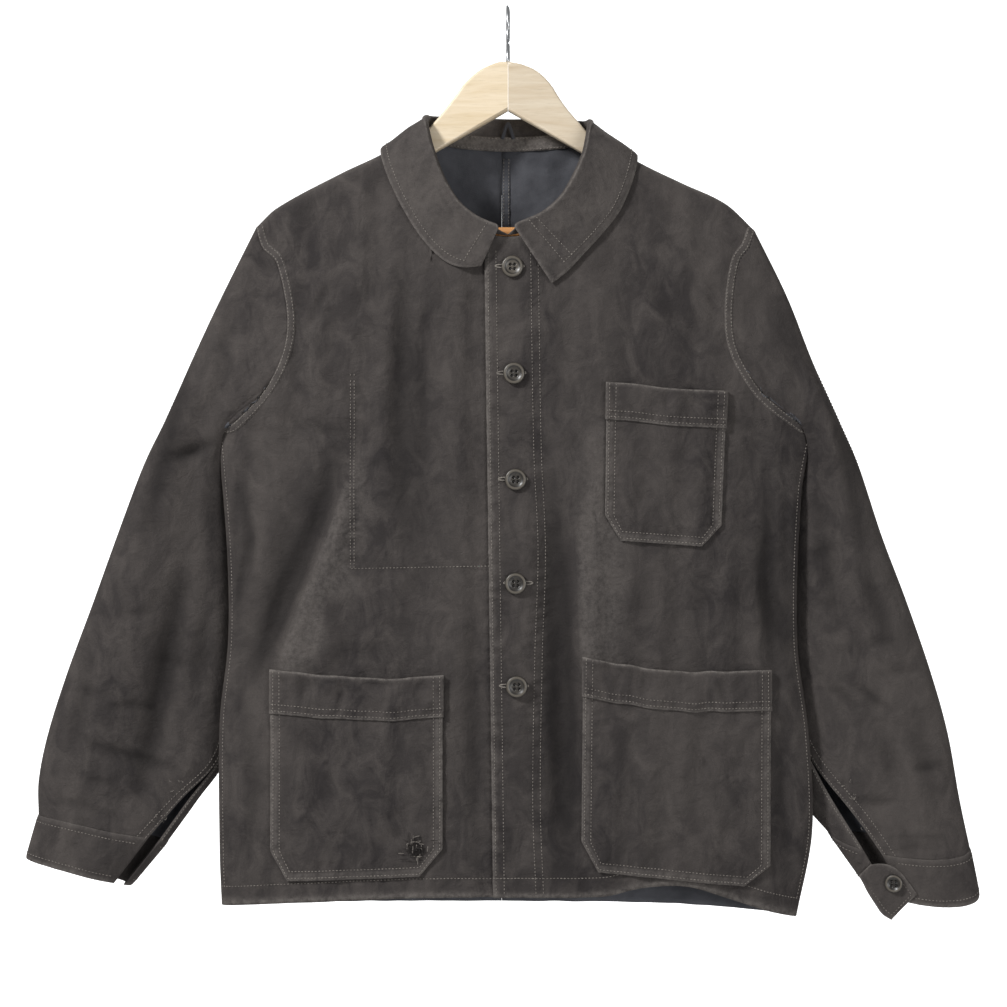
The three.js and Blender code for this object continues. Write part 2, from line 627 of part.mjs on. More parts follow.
function sleeveFold(side, face, w, along) {
  let sum = 0;
  for (const fold of SLEEVE_FOLDS) {
    const run = (along - fold.from) / (fold.to - fold.from);
    if (fold.side === side && fold.face === face && run > 0 && run < 1) {
      const off = (w - lerp(fold.across[0], fold.across[1], run)) / fold.wide;
      sum += fold.deep * Math.sin(Math.PI * run) * Math.exp(-(off ** 2));
    }
  }
  return sum;
}

// Way from the body into the sleeve across the armhole seam, seen from the front.
function armholeWay(side, w) {
  const near = 0.01;
  const a = alongRows(ARMHOLES[side], Math.max(w - near, 0));
  const b = alongRows(ARMHOLES[side], Math.min(w + near, 1));
  return new THREE.Vector3(side * (b.z - a.z), 0, -side * (b.x - a.x)).normalize();
}

// Outer and inner point of the body's wall at the armhole, moved across the seam.
function armholeEdge(side, round) {
  const face = round <= 0.5 ? FRONT : BACK;
  const w = round <= 0.5 ? round * 2 : (1 - round) * 2;
  const panel = Object.values(PANELS).find((p) => p.side === side && p.face === face);
  const v = SIDE_SHARE + (1 - SIDE_SHARE) * w;
  const way = armholeWay(side, w).multiplyScalar(SEAM);
  return [panelPoint(panel, 1, v).add(way), panelInner(panel, 1, v).add(way)];
}

const ROUND_STOPS = [...ARMHOLE_STOPS.map((w) => w / 2), ...ARMHOLE_STOPS.map((w) => 1 - w / 2).reverse()];

// The top sleeve runs from the inner seam over the front to the rear seam, the under sleeve from there on.
const SLEEVE_PIECES = [
  { name: "top_sleeve", from: 0, to: REAR_SEAM },
  { name: "under_sleeve", from: REAR_SEAM, to: 1 },
];

// Places round the sleeve of a piece's points, at a share of its length.
function pieceRounds(side, piece, along) {
  const row = readRow(SLEEVES[side], "at", along * (SLEEVES[side].length - 1));
  const ring = 2 * Math.hypot(row.outX - row.inX, row.outZ - row.inZ);
  const shut = SEAM / 2 / ring;
  const open = shut + Math.max(row.vent, 0) / ring;
  const start = piece.from === 0 ? row.seam / 2 + open : REAR_SEAM + shut;
  const end = piece.from === 0 ? REAR_SEAM - shut : 1 + row.seam / 2 - open;
  return [...new Set(ROUND_STOPS)]
    .filter((stop) => stop >= piece.from && stop <= piece.to)
    .map((stop) => lerp(start, end, (stop - piece.from) / (piece.to - piece.from)));
}

// Unit normal of a sleeve, turned outwards.
function sleeveNormal(side, round, along) {
  const surface = (a, b) => sleevePoint(side, a, b);
  const sign = Math.sign(surfaceNormal(surface, 0.25, 0.5).y) * FRONT;
  return surfaceNormal(surface, round, along).multiplyScalar(sign);
}

function sleevePieces(side, label) {
  for (const piece of SLEEVE_PIECES) {
    const rings = steps(SLEEVE_STEPS).map((along) => pieceRounds(side, piece, along).map((round) => {
      if (along === 0) return armholeEdge(side, clamp(round, 0, 1));
      const point = sleevePoint(side, round, along);
      return [point, point.clone().addScaledVector(sleeveNormal(side, round, along), -CLOTH)];
    }));
    const layer = (k) => rings.map((ring) => ring.map((pair) => pair[k]));
    add(`${piece.name}_${label}`, wall(layer(0), layer(1)), moleskin);
  }
}

// Outer point of a cuff, which runs on from the sleeve's end. Down runs from its seam (0) to its edge (1).
function cuffPoint(side, round, down) {
  const reach = CUFFS[side];
  const turn = round % 1;
  const w = turn <= 0.5 ? turn * 2 : (1 - turn) * 2;
  const swing = (1 - Math.cos(Math.PI * w)) / 2;
  const way = new THREE.Vector3(lerp(reach.inX, reach.outX, swing), 0, lerp(reach.inZ, reach.outZ, swing));
  return sleevePoint(side, round, 1).addScaledVector(way, down + CUFF_SEAM / way.length());
}

// A cuff, open at the vent, with its points in line with those of the sleeve.
function cuff(side, label) {
  const [top, under] = SLEEVE_PIECES.map((piece) => pieceRounds(side, piece, 1));
  const rounds = [...top, ...under.slice(1)];
  const down = steps(CUFF_STEPS);
  const outer = grid(rounds, down, (round, v) => cuffPoint(side, round, v));
  const inner = grid(rounds, down, (round, v) =>
    cuffPoint(side, round, v).addScaledVector(sleeveNormal(side, round, 1), -DOUBLE));
  add(`cuff_${label}`, wall(outer, inner), moleskin);
}

// A place on the front of the left cuff, moved out by a distance.
function onCuff(x, z, out) {
  const under = grid([-1, ...steps(TAB_READ)], TAB_UNDER, (share, down) => {
    const point = cuffPoint(LEFT, lerp(TAB_LEVEL, 1, Math.max(share, 0)) / 2, down);
    point.x -= share < 0 ? TAB_OVER : 0;
    return point;
  });
  return new THREE.Vector3(x, facetPlace(under, x, z) - out, z);
}

// The tab lies over the vent and the front of the left cuff.
function cuffTab() {
  const place = (across, along, out) => {
    const row = alongRows(TAB, along);
    return onCuff(lerp(row.lowX, row.topX, across), lerp(row.lowZ, row.topZ, across), out);
  };
  const across = steps(TAB_STEPS.across);
  const along = steps(TAB_STEPS.along);
  add("cuff_tab", wall(
    grid(across, along, (u, v) => place(u, v, TAB_CLEAR + DOUBLE)),
    grid(across, along, (u, v) => place(u, v, TAB_CLEAR)),
  ), moleskinWorn);
}

// A place on the outside of the body, moved out by a distance.
function onBody(x, z, out) {
  return new THREE.Vector3(x, -(clothDepth(x, z, FRONT) + out), z);
}

// Point of the neckline under a station of the collar.
function neckPoint(row) {
  const side = row.foldX < 0 ? RIGHT : LEFT;
  if (row.face === 0) return new THREE.Vector3(side * NECK_WIDE, 0, NECK_TOP[side]);
  const drop = NECK_DROP[row.face] - NECK_TOP[side];
  const turn = row.face === FRONT
    ? Math.acos(clamp((row.foldZ - COLLAR_STAND - NECK_TOP[side]) / drop, 0, 1))
    : Math.asin(clamp(Math.abs(row.foldX) / COLLAR_BACK_WIDE, 0, 1));
  const { x, z } = neckline(side, row.face, turn);
  return new THREE.Vector3(x, row.face * bodyDepth(x, z, row.face), z);
}

// Section of the collar at a station: up the stand, over the fold and down the fall.
function collarSection(row) {
  const neck = neckPoint(row);
  const facing = row.face === 0 ? new THREE.Vector3(Math.sign(row.foldX), 0, 0)
    : new THREE.Vector3(row.foldX / 110, row.face, 0).normalize();
  const fold = new THREE.Vector3(row.foldX, neck.y + row.face * row.lift, row.foldZ);
  if (row.face === 0) fold.y = 0;
  const edgeDeep = clothDepth(row.edgeX, row.edgeZ, row.face || FRONT) + FALL_CLEAR + CLOTH;
  const edge = new THREE.Vector3(row.edgeX, row.face * edgeDeep, row.edgeZ);
  const upward = new THREE.Vector3(0, 0, 1);
  const section = [];
  const clear = STAND_CLEAR * (1 - Math.abs(neck.x) / NECK_WIDE / 2);
  const foot = neck.clone().addScaledVector(facing, -CLOTH).addScaledVector(upward, clear);
  foot.x -= STAND_CLEAR * (neck.x / NECK_WIDE);
  const leg = fold.clone().addScaledVector(facing, -COLLAR_ROUND);
  section.push(foot, foot.clone().lerp(leg, 0.55), leg);
  for (const turn of [0.25, 0.5, 0.75]) {
    const angle = Math.PI * turn;
    section.push(fold.clone()
      .addScaledVector(facing, -COLLAR_ROUND * Math.cos(angle))
      .addScaledVector(upward, COLLAR_ROUND * Math.sin(angle)));
  }
  const brow = fold.clone().addScaledVector(facing, COLLAR_ROUND);
  for (let i = 0; i <= FALL_STEPS; i += 1) {
    const share = i / FALL_STEPS;
    const point = brow.clone().lerp(edge, share);
    const deep = clothDepth(point.x, point.z, row.face || FRONT) + FALL_CLEAR + CLOTH;
    const bowed = deep + FALL_BOW * Math.sin(Math.PI * share);
    if (row.face !== 0) point.y = row.face * Math.max(row.face * point.y, bowed);
    section.push(point);
  }
  return section;
}

function collar() {
  const sections = COLLAR.map(collarSection);
  const count = (COLLAR.length - 1) * COLLAR_STEPS;
  const parts = sections[0].map((_, k) => new THREE.CatmullRomCurve3(sections.map((section) => section[k])));
  const last = parts.length - 1;
  const outer = [];
  const inner = [];
  const near = 0.5 / count;
  for (const along of steps(count)) {
    const ring = parts.map((part) => part.getPoint(along));
    const before = parts.map((part) => part.getPoint(Math.max(along - near, 0)));
    const after = parts.map((part) => part.getPoint(Math.min(along + near, 1)));
    outer.push(ring);
    inner.push(ring.map((point, k) => {
      const run = after[k].clone().sub(before[k]);
      const rise = ring[Math.min(k + 1, last)].clone().sub(ring[Math.max(k - 1, 0)]);
      return point.clone().addScaledVector(run.cross(rise).normalize(), COLLAR_TURN * CLOTH);
    }));
  }
  add("collar", wall(outer, inner), moleskinWorn);
}

// Back face of the neck tape beside a point of the neckline.
function bandPlace(x, z) {
  return clothDepth(x, z - BAND_LOW, BACK) - CLOTH - BAND_CLEAR;
}

// The neck band is a tape on the inside of the collar's stand, across the back of the neck.
function neckBand() {
  const across = steps(BAND_STEPS);
  const place = (u, v, deep) => {
    const x = lerp(-BAND_HALF, BAND_HALF, u);
    const { z } = neckline(x < 0 ? RIGHT : LEFT, BACK, Math.asin(Math.abs(x) / NECK_WIDE));
    return new THREE.Vector3(x, bandPlace(x, z) - deep, z + lerp(-BAND_LOW, BAND_HIGH, v));
  };
  add("neck_band", wall(
    grid(across, [0, 0.5, 1], (u, v) => place(u, v, TAPE)),
    grid(across, [0, 0.5, 1], (u, v) => place(u, v, 0)),
  ), moleskinInside);
}

function hangingLoop() {
  const { foot, top, rise, width } = LOOP;
  const shape = new THREE.Shape([
    new THREE.Vector2(-foot, 0), new THREE.Vector2(width - foot, 0), new THREE.Vector2(0, rise - width),
    new THREE.Vector2(foot - width, 0), new THREE.Vector2(foot, 0), new THREE.Vector2(0, rise),
  ]);
  const geometry = new THREE.ExtrudeGeometry(shape, { depth: TAPE, bevelEnabled: false });
  geometry.rotateX(Math.PI / 2);
  geometry.translate(0, bandPlace(0, NECK_DROP[BACK]) - TAPE - LOOP.clear, top - rise);
  add("hanging_loop", geometry, moleskinInside);
}

// A pocket is a sheet on the front panel with its lower corners cut off.
function pocketPoint(pocket, across, down, out) {
  const bottom = (key) => Math.abs(pocket.lowIn[key] - pocket.lowOut[key]);
  const high = Math.abs(pocket.topIn[1] - pocket.lowIn[1]);
  const cut = (corner) => {
    const start = 1 - corner[1] / high;
    return down > start ? ((down - start) / (1 - start)) * (corner[0] / bottom(0)) : 0;
  };
  const u = lerp(cut(pocket.cutIn), 1 - cut(pocket.cutOut), across);
  const x = lerp(lerp(pocket.topIn[0], pocket.topOut[0], u), lerp(pocket.lowIn[0], pocket.lowOut[0], u), down);
  const z = lerp(lerp(pocket.topIn[1], pocket.topOut[1], u), lerp(pocket.lowIn[1], pocket.lowOut[1], u), down);
  return onBody(x, z, out);
}

function pockets() {
  for (const pocket of POCKETS) {
    const high = Math.abs(pocket.topIn[1] - pocket.lowIn[1]);
    const cutRow = 1 - Math.max(pocket.cutIn[1], pocket.cutOut[1]) / high;
    const rows = [...steps(POCKET_ROWS - 2).map((v) => v * cutRow), (1 + cutRow) / 2, 1];
    const across = steps(POCKET_COLUMNS);
    add(pocket.name, wall(
      grid(across, rows, (u, v) => pocketPoint(pocket, u, v, POCKET_CLEAR + CLOTH)),
      grid(across, rows, (u, v) => pocketPoint(pocket, u, v, POCKET_CLEAR)),
    ), moleskin);
    const proud = BAND_PROUD / Math.abs(pocket.topOut[0] - pocket.topIn[0]);
    const bandRows = steps(2).map((v) => (v * pocket.band) / high);
    const bandOut = POCKET_CLEAR + CLOTH + SEAM;
    const bandPoint = (u, v, out) => pocketPoint(pocket, lerp(-proud, 1 + proud, u), v, bandOut + out);
    add(`${pocket.name}_band`, wall(
      grid(across, bandRows, (u, v) => bandPoint(u, v, CLOTH)),
      grid(across, bandRows, (u, v) => bandPoint(u, v, 0)),
    ), moleskinWorn);
  }
}

// A button is turned with a raised rim and a dished middle.
function buttonGeometry(round) {
  const profile = [
    [0, 0], [round - 1, 0], [round, 1.2], [round - 1, BUTTON_RIM], [round - 2.6, BUTTON_RIM],
    [round - 4.4, BUTTON_DISH], [0, BUTTON_DISH],
  ].map(([r, h]) => new THREE.Vector2(r, h));
  return new THREE.LatheGeometry(profile, BUTTON_SIDES);
}

function buttons() {
  FRONT_BUTTONS.forEach(({ x, z }, i) => {
    const mesh = add(`button_${i + 1}`, buttonGeometry(BUTTON_ROUND), button);
    mesh.rotation.x = Math.PI;
    mesh.position.copy(onBody(x, z, BUTTON_CLEAR));
  });
  const { x, z, round } = CUFF_BUTTON;
  const cuffed = add("cuff_button", buttonGeometry(round), button);
  const out = TAB_CLEAR + DOUBLE + CUFF_BUTTON.clear;
  const over = onCuff(x, z + round, out).sub(onCuff(x, z - round, out));
  const aside = onCuff(x + round, z, out).sub(onCuff(x - round, z, out));
  cuffed.quaternion.setFromUnitVectors(new THREE.Vector3(0, 1, 0), over.cross(aside).normalize().negate());
  cuffed.position.copy(onCuff(x, z, out));
}

// A hanger board: the crown, the arm under the shoulder, and the ear that holds the bar.
function board(side, label) {
  const armTop = (out) => shoulderLine(side * out) - ARM_SINK;
  const top = [...CROWN[side]];
  for (const share of steps(ARM_STEPS)) {
    const out = lerp(NECK_WIDE, ARM_END, share);
    top.push([out, armTop(out)]);
  }
  const low = [[ARM_END, ARM_EAR], [ARM_END - EAR_WIDE, ARM_EAR]];
  const inner = ARM_END - EAR_WIDE;
  for (const share of steps(ARM_STEPS)) {
    const out = lerp(inner, NECK_WIDE, share);
    low.push([out, armTop(out) - lerp(ARM_HIGH.end, ARM_HIGH.neck, share)]);
  }
  low.push([THROAT.out, THROAT.low], [0, THROAT.top]);
  const outline = [...top, ...low].map(([out, z]) => new THREE.Vector2(side * Math.max(out, SEAM / 2), z));
  const geometry = new THREE.ExtrudeGeometry(new THREE.Shape(outline), { depth: BOARD, bevelEnabled: false });
  geometry.rotateX(Math.PI / 2);
  geometry.translate(0, BOARD / 2, 0);
  add(`hanger_${label}`, geometry, wood);
}

function bar() {
  const long = 2 * (ARM_END - EAR_WIDE - 2 * SEAM);
  const geometry = new THREE.CylinderGeometry(BAR_ROUND, BAR_ROUND, long, 12);
  const mesh = add("trouser_bar", geometry, barWood);
  mesh.rotation.z = Math.PI / 2;
  mesh.position.z = BAR_HIGH;
}

// The hook rises from the crown and turns over in the plane across the hanger.
function hook() {
  const middle = HOOK_INNER + WIRE;
  const centre = HOOK_DROP - HOOK_INNER;
  const at = (turn) => new THREE.Vector3(0, middle * Math.sin(turn), centre + middle * Math.cos(turn));
  const points = [new THREE.Vector3(0, 0, SEAM), new THREE.Vector3(0, 0, 6), new THREE.Vector3(0, 2, 11)];
  for (const share of steps(HOOK_STEPS)) points.push(at(lerp(HOOK_FROM, HOOK_TO, share)));
  const route = new THREE.CatmullRomCurve3(points);
  const ring = steps(7).map((share) => {
    const turn = 2 * Math.PI * (share * 7) / 8;
    return new THREE.Vector2(WIRE * Math.cos(turn), WIRE * Math.sin(turn));
  });
  add("hook", new THREE.ExtrudeGeometry(new THREE.Shape(ring), { steps: 40, extrudePath: route }), steel);
}

bodyPanels();
sleevePieces(RIGHT, "right");
sleevePieces(LEFT, "left");
cuff(RIGHT, "right");
cuff(LEFT, "left");
cuffTab();
collar();
neckBand();
hangingLoop();
pockets();
buttons();
board(RIGHT, "right");
board(LEFT, "left");
bar();
hook();

export default jacket;
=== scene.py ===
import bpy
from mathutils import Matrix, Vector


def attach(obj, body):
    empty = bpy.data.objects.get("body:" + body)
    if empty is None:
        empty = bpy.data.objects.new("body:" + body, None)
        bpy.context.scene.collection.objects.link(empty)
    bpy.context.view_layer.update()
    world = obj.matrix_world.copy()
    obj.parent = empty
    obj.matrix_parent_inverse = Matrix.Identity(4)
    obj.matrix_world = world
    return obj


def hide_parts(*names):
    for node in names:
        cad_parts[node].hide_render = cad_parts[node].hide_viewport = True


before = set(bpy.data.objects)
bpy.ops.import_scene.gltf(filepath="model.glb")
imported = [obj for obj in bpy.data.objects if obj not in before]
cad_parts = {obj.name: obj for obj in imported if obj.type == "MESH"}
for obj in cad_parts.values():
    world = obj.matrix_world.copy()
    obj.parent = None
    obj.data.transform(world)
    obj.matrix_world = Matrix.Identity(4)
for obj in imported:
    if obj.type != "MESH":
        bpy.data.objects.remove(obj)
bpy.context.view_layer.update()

"""Looks of a moleskin work jacket on a wooden hanger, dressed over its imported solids.

Lengths in the tables are millimetres: X to the wearer's left, Y to the back and Z up, with heights taken
from the hanger's crown, which lies HOOK_DROP under the hook's inner top. Meshes are made in metres.
"""
import logging
import math
from dataclasses import dataclass, field
from enum import Enum, IntEnum

import bmesh
import bpy
import numpy as np

Array = np.ndarray
log = logging.getLogger("jacket")
logging.basicConfig(level=logging.INFO, format="%(message)s")

HOOK_DROP = 50.0
CLOTH = 2.0
SEAM = 0.3
CREASE_GAIN = 1.7

# Distances of the rows of stitches from their edges or seams.
HEM_ROW = 18.0
LAP_ROWS = (3.0, 10.5)
BAND_ROWS = (21.0, 28.0)
INNER_POCKET_ROWS = (-147.5, -144.0)
INNER_SEAM_ROWS = (2.2, 8.4)
REAR_SEAM_ROWS = (2.0, 8.0)
VENT_ROW = 2.4
STITCH_PITCH, STITCH_LENGTH, STITCH_WIDTH = 3.3, 2.5, 0.8

# The studio, in metres.
FLOOR_REACH, FLOOR_LEVEL = 7.5, -3.0
SCREEN_REACH, SCREEN_Y, SCREEN_TOP = 2.4, 4.5, 2.0


class Side(IntEnum):
    """The wearer's side, as the sign of X."""

    RIGHT = -1
    LEFT = 1


class Face(IntEnum):
    """The side of the body or sleeve that cloth lies on, as the sign of Y."""

    FRONT = -1
    BACK = 1


class Held(str, Enum):
    """How a sheet of cloth is held."""

    HUNG = "hung"
    LAID = "laid"
    FOLDED = "folded"


# ---------------------------------------------------------------- tables and curves


def read_row(table: Array, value: Array) -> Array:
    """Reads a table smoothly at values of its first column.

    Args:
        table: Rows with a rising first column.
        value: Places to read at, of any shape.

    Returns:
        The rows at those places, with the table's columns as the last axis.
    """
    keys = table[:, 0]
    last = len(keys) - 1
    value = np.asarray(value, float)
    i = np.searchsorted(keys[1:last], value, side="left")
    before, after = np.maximum(i - 1, 0), np.minimum(i + 2, last)
    span = keys[i + 1] - keys[i]
    t = np.clip((value - keys[i]) / span, 0, 1)[..., None]
    rise = table[i + 1] - table[i]
    slope_a = (table[i + 1] - table[before]) * (span / (keys[i + 1] - keys[before]))[..., None]
    slope_b = (table[after] - table[i]) * (span / (keys[after] - keys[i]))[..., None]
    bend = (1 - t) * (slope_a - rise) + t * (rise - slope_b)
    return table[i] + t * rise + t * (1 - t) * bend


def along_rows(rows: Array, share: Array) -> Array:
    """Points on a smooth line through rows, at shares of their number."""
    numbered = np.column_stack([np.arange(len(rows)), rows])
    return read_row(numbered, np.asarray(share, float) * (len(rows) - 1))[..., 1:]


def lerp(a: Array, b: Array, t: Array) -> Array:
    """Value a share of the way from a to b."""
    return a + (b - a) * t


def smooth(value: Array, low: float, high: float) -> Array:
    """Soft step from 0 at low to 1 at high."""
    t = np.clip((value - low) / (high - low), 0, 1)
    return t * t * (3 - 2 * t)


def uneven(a: Array, b: Array, size: float, seed: int) -> Array:
    """Smooth unevenness over two coordinates.

    Args:
        a: First coordinate.
        b: Second coordinate.
        size: Usual distance from one swell to the next.
        seed: Fixed seed of the pattern.

    Returns:
        Values mostly between -1 and 1.
    """
    rng = np.random.default_rng(seed)
    total = np.zeros(np.broadcast(a, b).shape)
    for _ in range(7):
        turn = rng.uniform(0, math.pi)
        pitch = size * rng.uniform(0.6, 1.7)
        phase = rng.uniform(0, 2 * math.pi)
        total = total + np.sin(2 * math.pi * (a * math.cos(turn) + b * math.sin(turn)) / pitch + phase)
    return total / 2.6


def along_path(path: Array, x: Array, z: Array) -> tuple[Array, Array]:
    """Share of a path's length and distance from it of each place.

    Args:
        path: Points of the path, x and z.
        x: First coordinate of the places.
        z: Second coordinate of the places.

    Returns:
        The share of the length, 0 to 1, and the signed distance.
    """
    starts, ends = path[:-1], path[1:]
    lengths = np.hypot(*(ends - starts).T)
    total, done = lengths.sum(), 0.0
    best, run = np.full(x.shape, 1e9), np.zeros(x.shape)
    for start, end, length in zip(starts, ends, lengths):
        way = (end - start) / length
        t = np.clip((x - start[0]) * way[0] + (z - start[1]) * way[1], 0, length)
        dx, dz = x - start[0] - t * way[0], z - start[1] - t * way[1]
        off = np.hypot(dx, dz)
        nearer = off < np.abs(best)
        best = np.where(nearer, off * np.sign(dx * way[1] - dz * way[0] + 1e-9), best)
        run = np.where(nearer, (done + t) / total, run)
        done += length
    return run, best


def metres(points: Array) -> Array:
    """Points of the tables, in metres in the part's frame."""
    return (np.asarray(points, float) - (0, 0, HOOK_DROP)) / 1000


def unit(vectors: Array) -> Array:
    """Vectors of length 1."""
    return vectors / np.maximum(np.linalg.norm(vectors, axis=-1, keepdims=True), 1e-12)


def grid_normals(points: Array) -> Array:
    """Unit normals of a grid of points, from its columns towards its rows."""
    return unit(np.cross(np.gradient(points, axis=1), np.gradient(points, axis=0)))


def shares(*stops: tuple[float, float, int]) -> Array:
    """Rising shares from runs of (from, to, steps), with no share twice."""
    runs = [np.linspace(low, high, count + 1) for low, high, count in stops]
    return np.unique(np.concatenate(runs).round(6))


# ---------------------------------------------------------------- meshes


def make_object(name: str, points: Array, faces: list, materials: list, wear: Array | None = None,
                kinds: list | None = None) -> bpy.types.Object:
    """Makes a smooth mesh object.

    Args:
        name: Name of the piece.
        points: Its points, in the tables' millimetres.
        faces: Its faces.
        materials: Its materials.
        wear: How worn each point is, from 0 to 1, and below 0 how much painted shade darkens it.
        kinds: The material's number of each face.

    Returns:
        The object, at the origin.
    """
    mesh = bpy.data.meshes.new(name)
    mesh.from_pydata(metres(points).tolist(), [], faces)
    for material in materials:
        mesh.materials.append(material)
    if kinds is not None:
        mesh.polygons.foreach_set("material_index", kinds)
    mesh.polygons.foreach_set("use_smooth", [True] * len(mesh.polygons))
    # This attribute carries wear above 0 and painted shade below 0.
    wear_and_shade_layer = mesh.attributes.new("wear", "FLOAT", "POINT")
    if wear is not None:
        wear_and_shade_layer.data.foreach_set("value", np.asarray(wear, float).ravel())
    mesh.update()
    made = bpy.data.objects.new(name, mesh)
    bpy.context.scene.collection.objects.link(made)
    return made


def shell(name: str, outer: Array, inner: Array, materials: list,
          wear: Array | None = None) -> bpy.types.Object:
    """Closed wall of cloth between two grids of points.

    Args:
        name: Name of the piece.
        outer: Rows of points of the outside.
        inner: Rows of points of the inside, as many.
        materials: Outside and inside material.
        wear: How worn each outer point is, and below 0 its painted shade.

    Returns:
        The wall, with its faces turned outwards.
    """
    rows, columns = outer.shape[:2]
    base = np.arange(rows * columns).reshape(rows, columns)
    far = base + rows * columns
    front = np.stack([base[:-1, :-1], base[:-1, 1:], base[1:, 1:], base[1:, :-1]], -1).reshape(-1, 4)
    back = np.stack([far[:-1, :-1], far[1:, :-1], far[1:, 1:], far[:-1, 1:]], -1).reshape(-1, 4)
    rims = [
        np.stack([base[:-1, 0], base[1:, 0], far[1:, 0], far[:-1, 0]], -1),
        np.stack([base[:-1, -1], far[:-1, -1], far[1:, -1], base[1:, -1]], -1),
        np.stack([base[0, :-1], far[0, :-1], far[0, 1:], base[0, 1:]], -1),
        np.stack([base[-1, :-1], base[-1, 1:], far[-1, 1:], far[-1, :-1]], -1),
    ]
    faces = np.concatenate([front, back, *rims])
    points = np.concatenate([outer.reshape(-1, 3), inner.reshape(-1, 3)])
    corner = points[faces]
    volume = np.einsum("ij,ij->i", corner[:, 0], np.cross(corner[:, 1], corner[:, 2])).sum()
    volume += np.einsum("ij,ij->i", corner[:, 0], np.cross(corner[:, 2], corner[:, 3])).sum()
    if volume < 0:
        faces = faces[:, ::-1]
    kinds = np.zeros(len(faces), int)
    kinds[len(front):len(front) + len(back)] = len(materials) - 1
    both = None if wear is None else np.concatenate([wear.ravel(), 0 * wear.ravel()])
    return make_object(name, points, faces.tolist(), materials, both, kinds.tolist())


def tube(path: Array, radius: float | Array, sides: int) -> tuple[Array, list]:
    """Points and faces of a round tube with closed ends.

    Args:
        path: Its points, in millimetres.
        radius: Its radius, or one at each point.
        sides: Faces round it.

    Returns:
        Its points and faces.
    """
    way = unit(np.gradient(path, axis=0))
    up = np.where(np.abs(way[:, 2:]) > 0.9, (0, 1, 0), (0, 0, 1))
    across = unit(np.cross(way, up))
    for i in range(1, len(path)):
        across[i] = unit(across[i - 1] - way[i] * (across[i - 1] @ way[i]))
    other = np.cross(way, across)
    turn = np.linspace(0, 2 * math.pi, sides, endpoint=False)
    size = np.broadcast_to(np.asarray(radius, float), (len(path),))[:, None, None]
    ring = across[:, None] * np.cos(turn)[:, None] + other[:, None] * np.sin(turn)[:, None]
    points = (path[:, None] + ring * size).reshape(-1, 3)
    faces = []
    for i in range(len(path) - 1):
        for j in range(sides):
            a, b = i * sides + j, i * sides + (j + 1) % sides
            faces.append([a, b, b + sides, a + sides])
    faces.append(list(range(sides))[::-1])
    faces.append([len(points) - sides + j for j in range(sides)])
    return points, faces


def joined(parts: list[tuple[Array, list]]) -> tuple[Array, list]:
    """One list of points and faces from several."""
    points, faces, start = [], [], 0
    for part_points, part_faces in parts:
        points.append(part_points)
        faces.extend([[start + k for k in face] for face in part_faces])
        start += len(part_points)
    return np.concatenate(points), faces


def turn_outwards(made: bpy.types.Object) -> None:
    """Turns the faces of a closed piece outwards."""
    work = bmesh.new()
    work.from_mesh(made.data)
    bmesh.ops.recalc_face_normals(work, faces=work.faces)
    work.to_mesh(made.data)
    work.free()


@dataclass(frozen=True)
class Crease:
    """A soft trough in the cloth, or a ridge where its depth is negative."""

    path: tuple[tuple[float, float], ...]
    deep: float
    wide: float

    def depth(self, x: Array, z: Array) -> Array:
        """How far the cloth sinks at each place."""
        run, off = along_path(np.array(self.path, float), x, z)
        fade = np.sin(math.pi * np.clip(run, 0, 1)) ** 0.8
        wide = self.wide * (0.75 + 0.45 * fade)
        return CREASE_GAIN * self.deep * fade * np.exp(-((off / wide) ** 2))


@dataclass(frozen=True)
class Pucker:
    """Short ripples that a row of stitches draws into the cloth on both its sides."""

    path: tuple[tuple[float, float], ...]
    deep: float = 0.5
    reach: float = 9.0
    pitch: float = 11.0
    seed: int = 3

    def depth(self, x: Array, z: Array) -> Array:
        """How far the cloth sinks at each place."""
        path = np.array(self.path, float)
        long = np.hypot(*np.diff(path, axis=0).T).sum()
        run, off = along_path(path, x, z)
        phase = run * long / self.pitch + 0.35 * uneven(run * long, off, 46, self.seed)
        ends = smooth(run, 0, 0.02) * smooth(1 - run, 0, 0.02)
        wave = 0.5 + 0.5 * np.sin(2 * math.pi * phase)
        return self.deep * ends * np.exp(-((off / self.reach) ** 2)) * wave


def sunk(marks: tuple, x: Array, z: Array) -> Array:
    """Sum of the depths of creases and puckers at each place."""
    return sum((mark.depth(x, z) for mark in marks), np.zeros(x.shape))


# ---------------------------------------------------------------- finishes


def tone(red: int, green: int, blue: int) -> tuple[float, float, float, float]:
    """A colour as it looks, for a shader's socket."""
    linear = [((v / 255 + 0.055) / 1.055) ** 2.4 if v > 10 else v / 3294 for v in (red, green, blue)]
    return (*linear, 1.0)


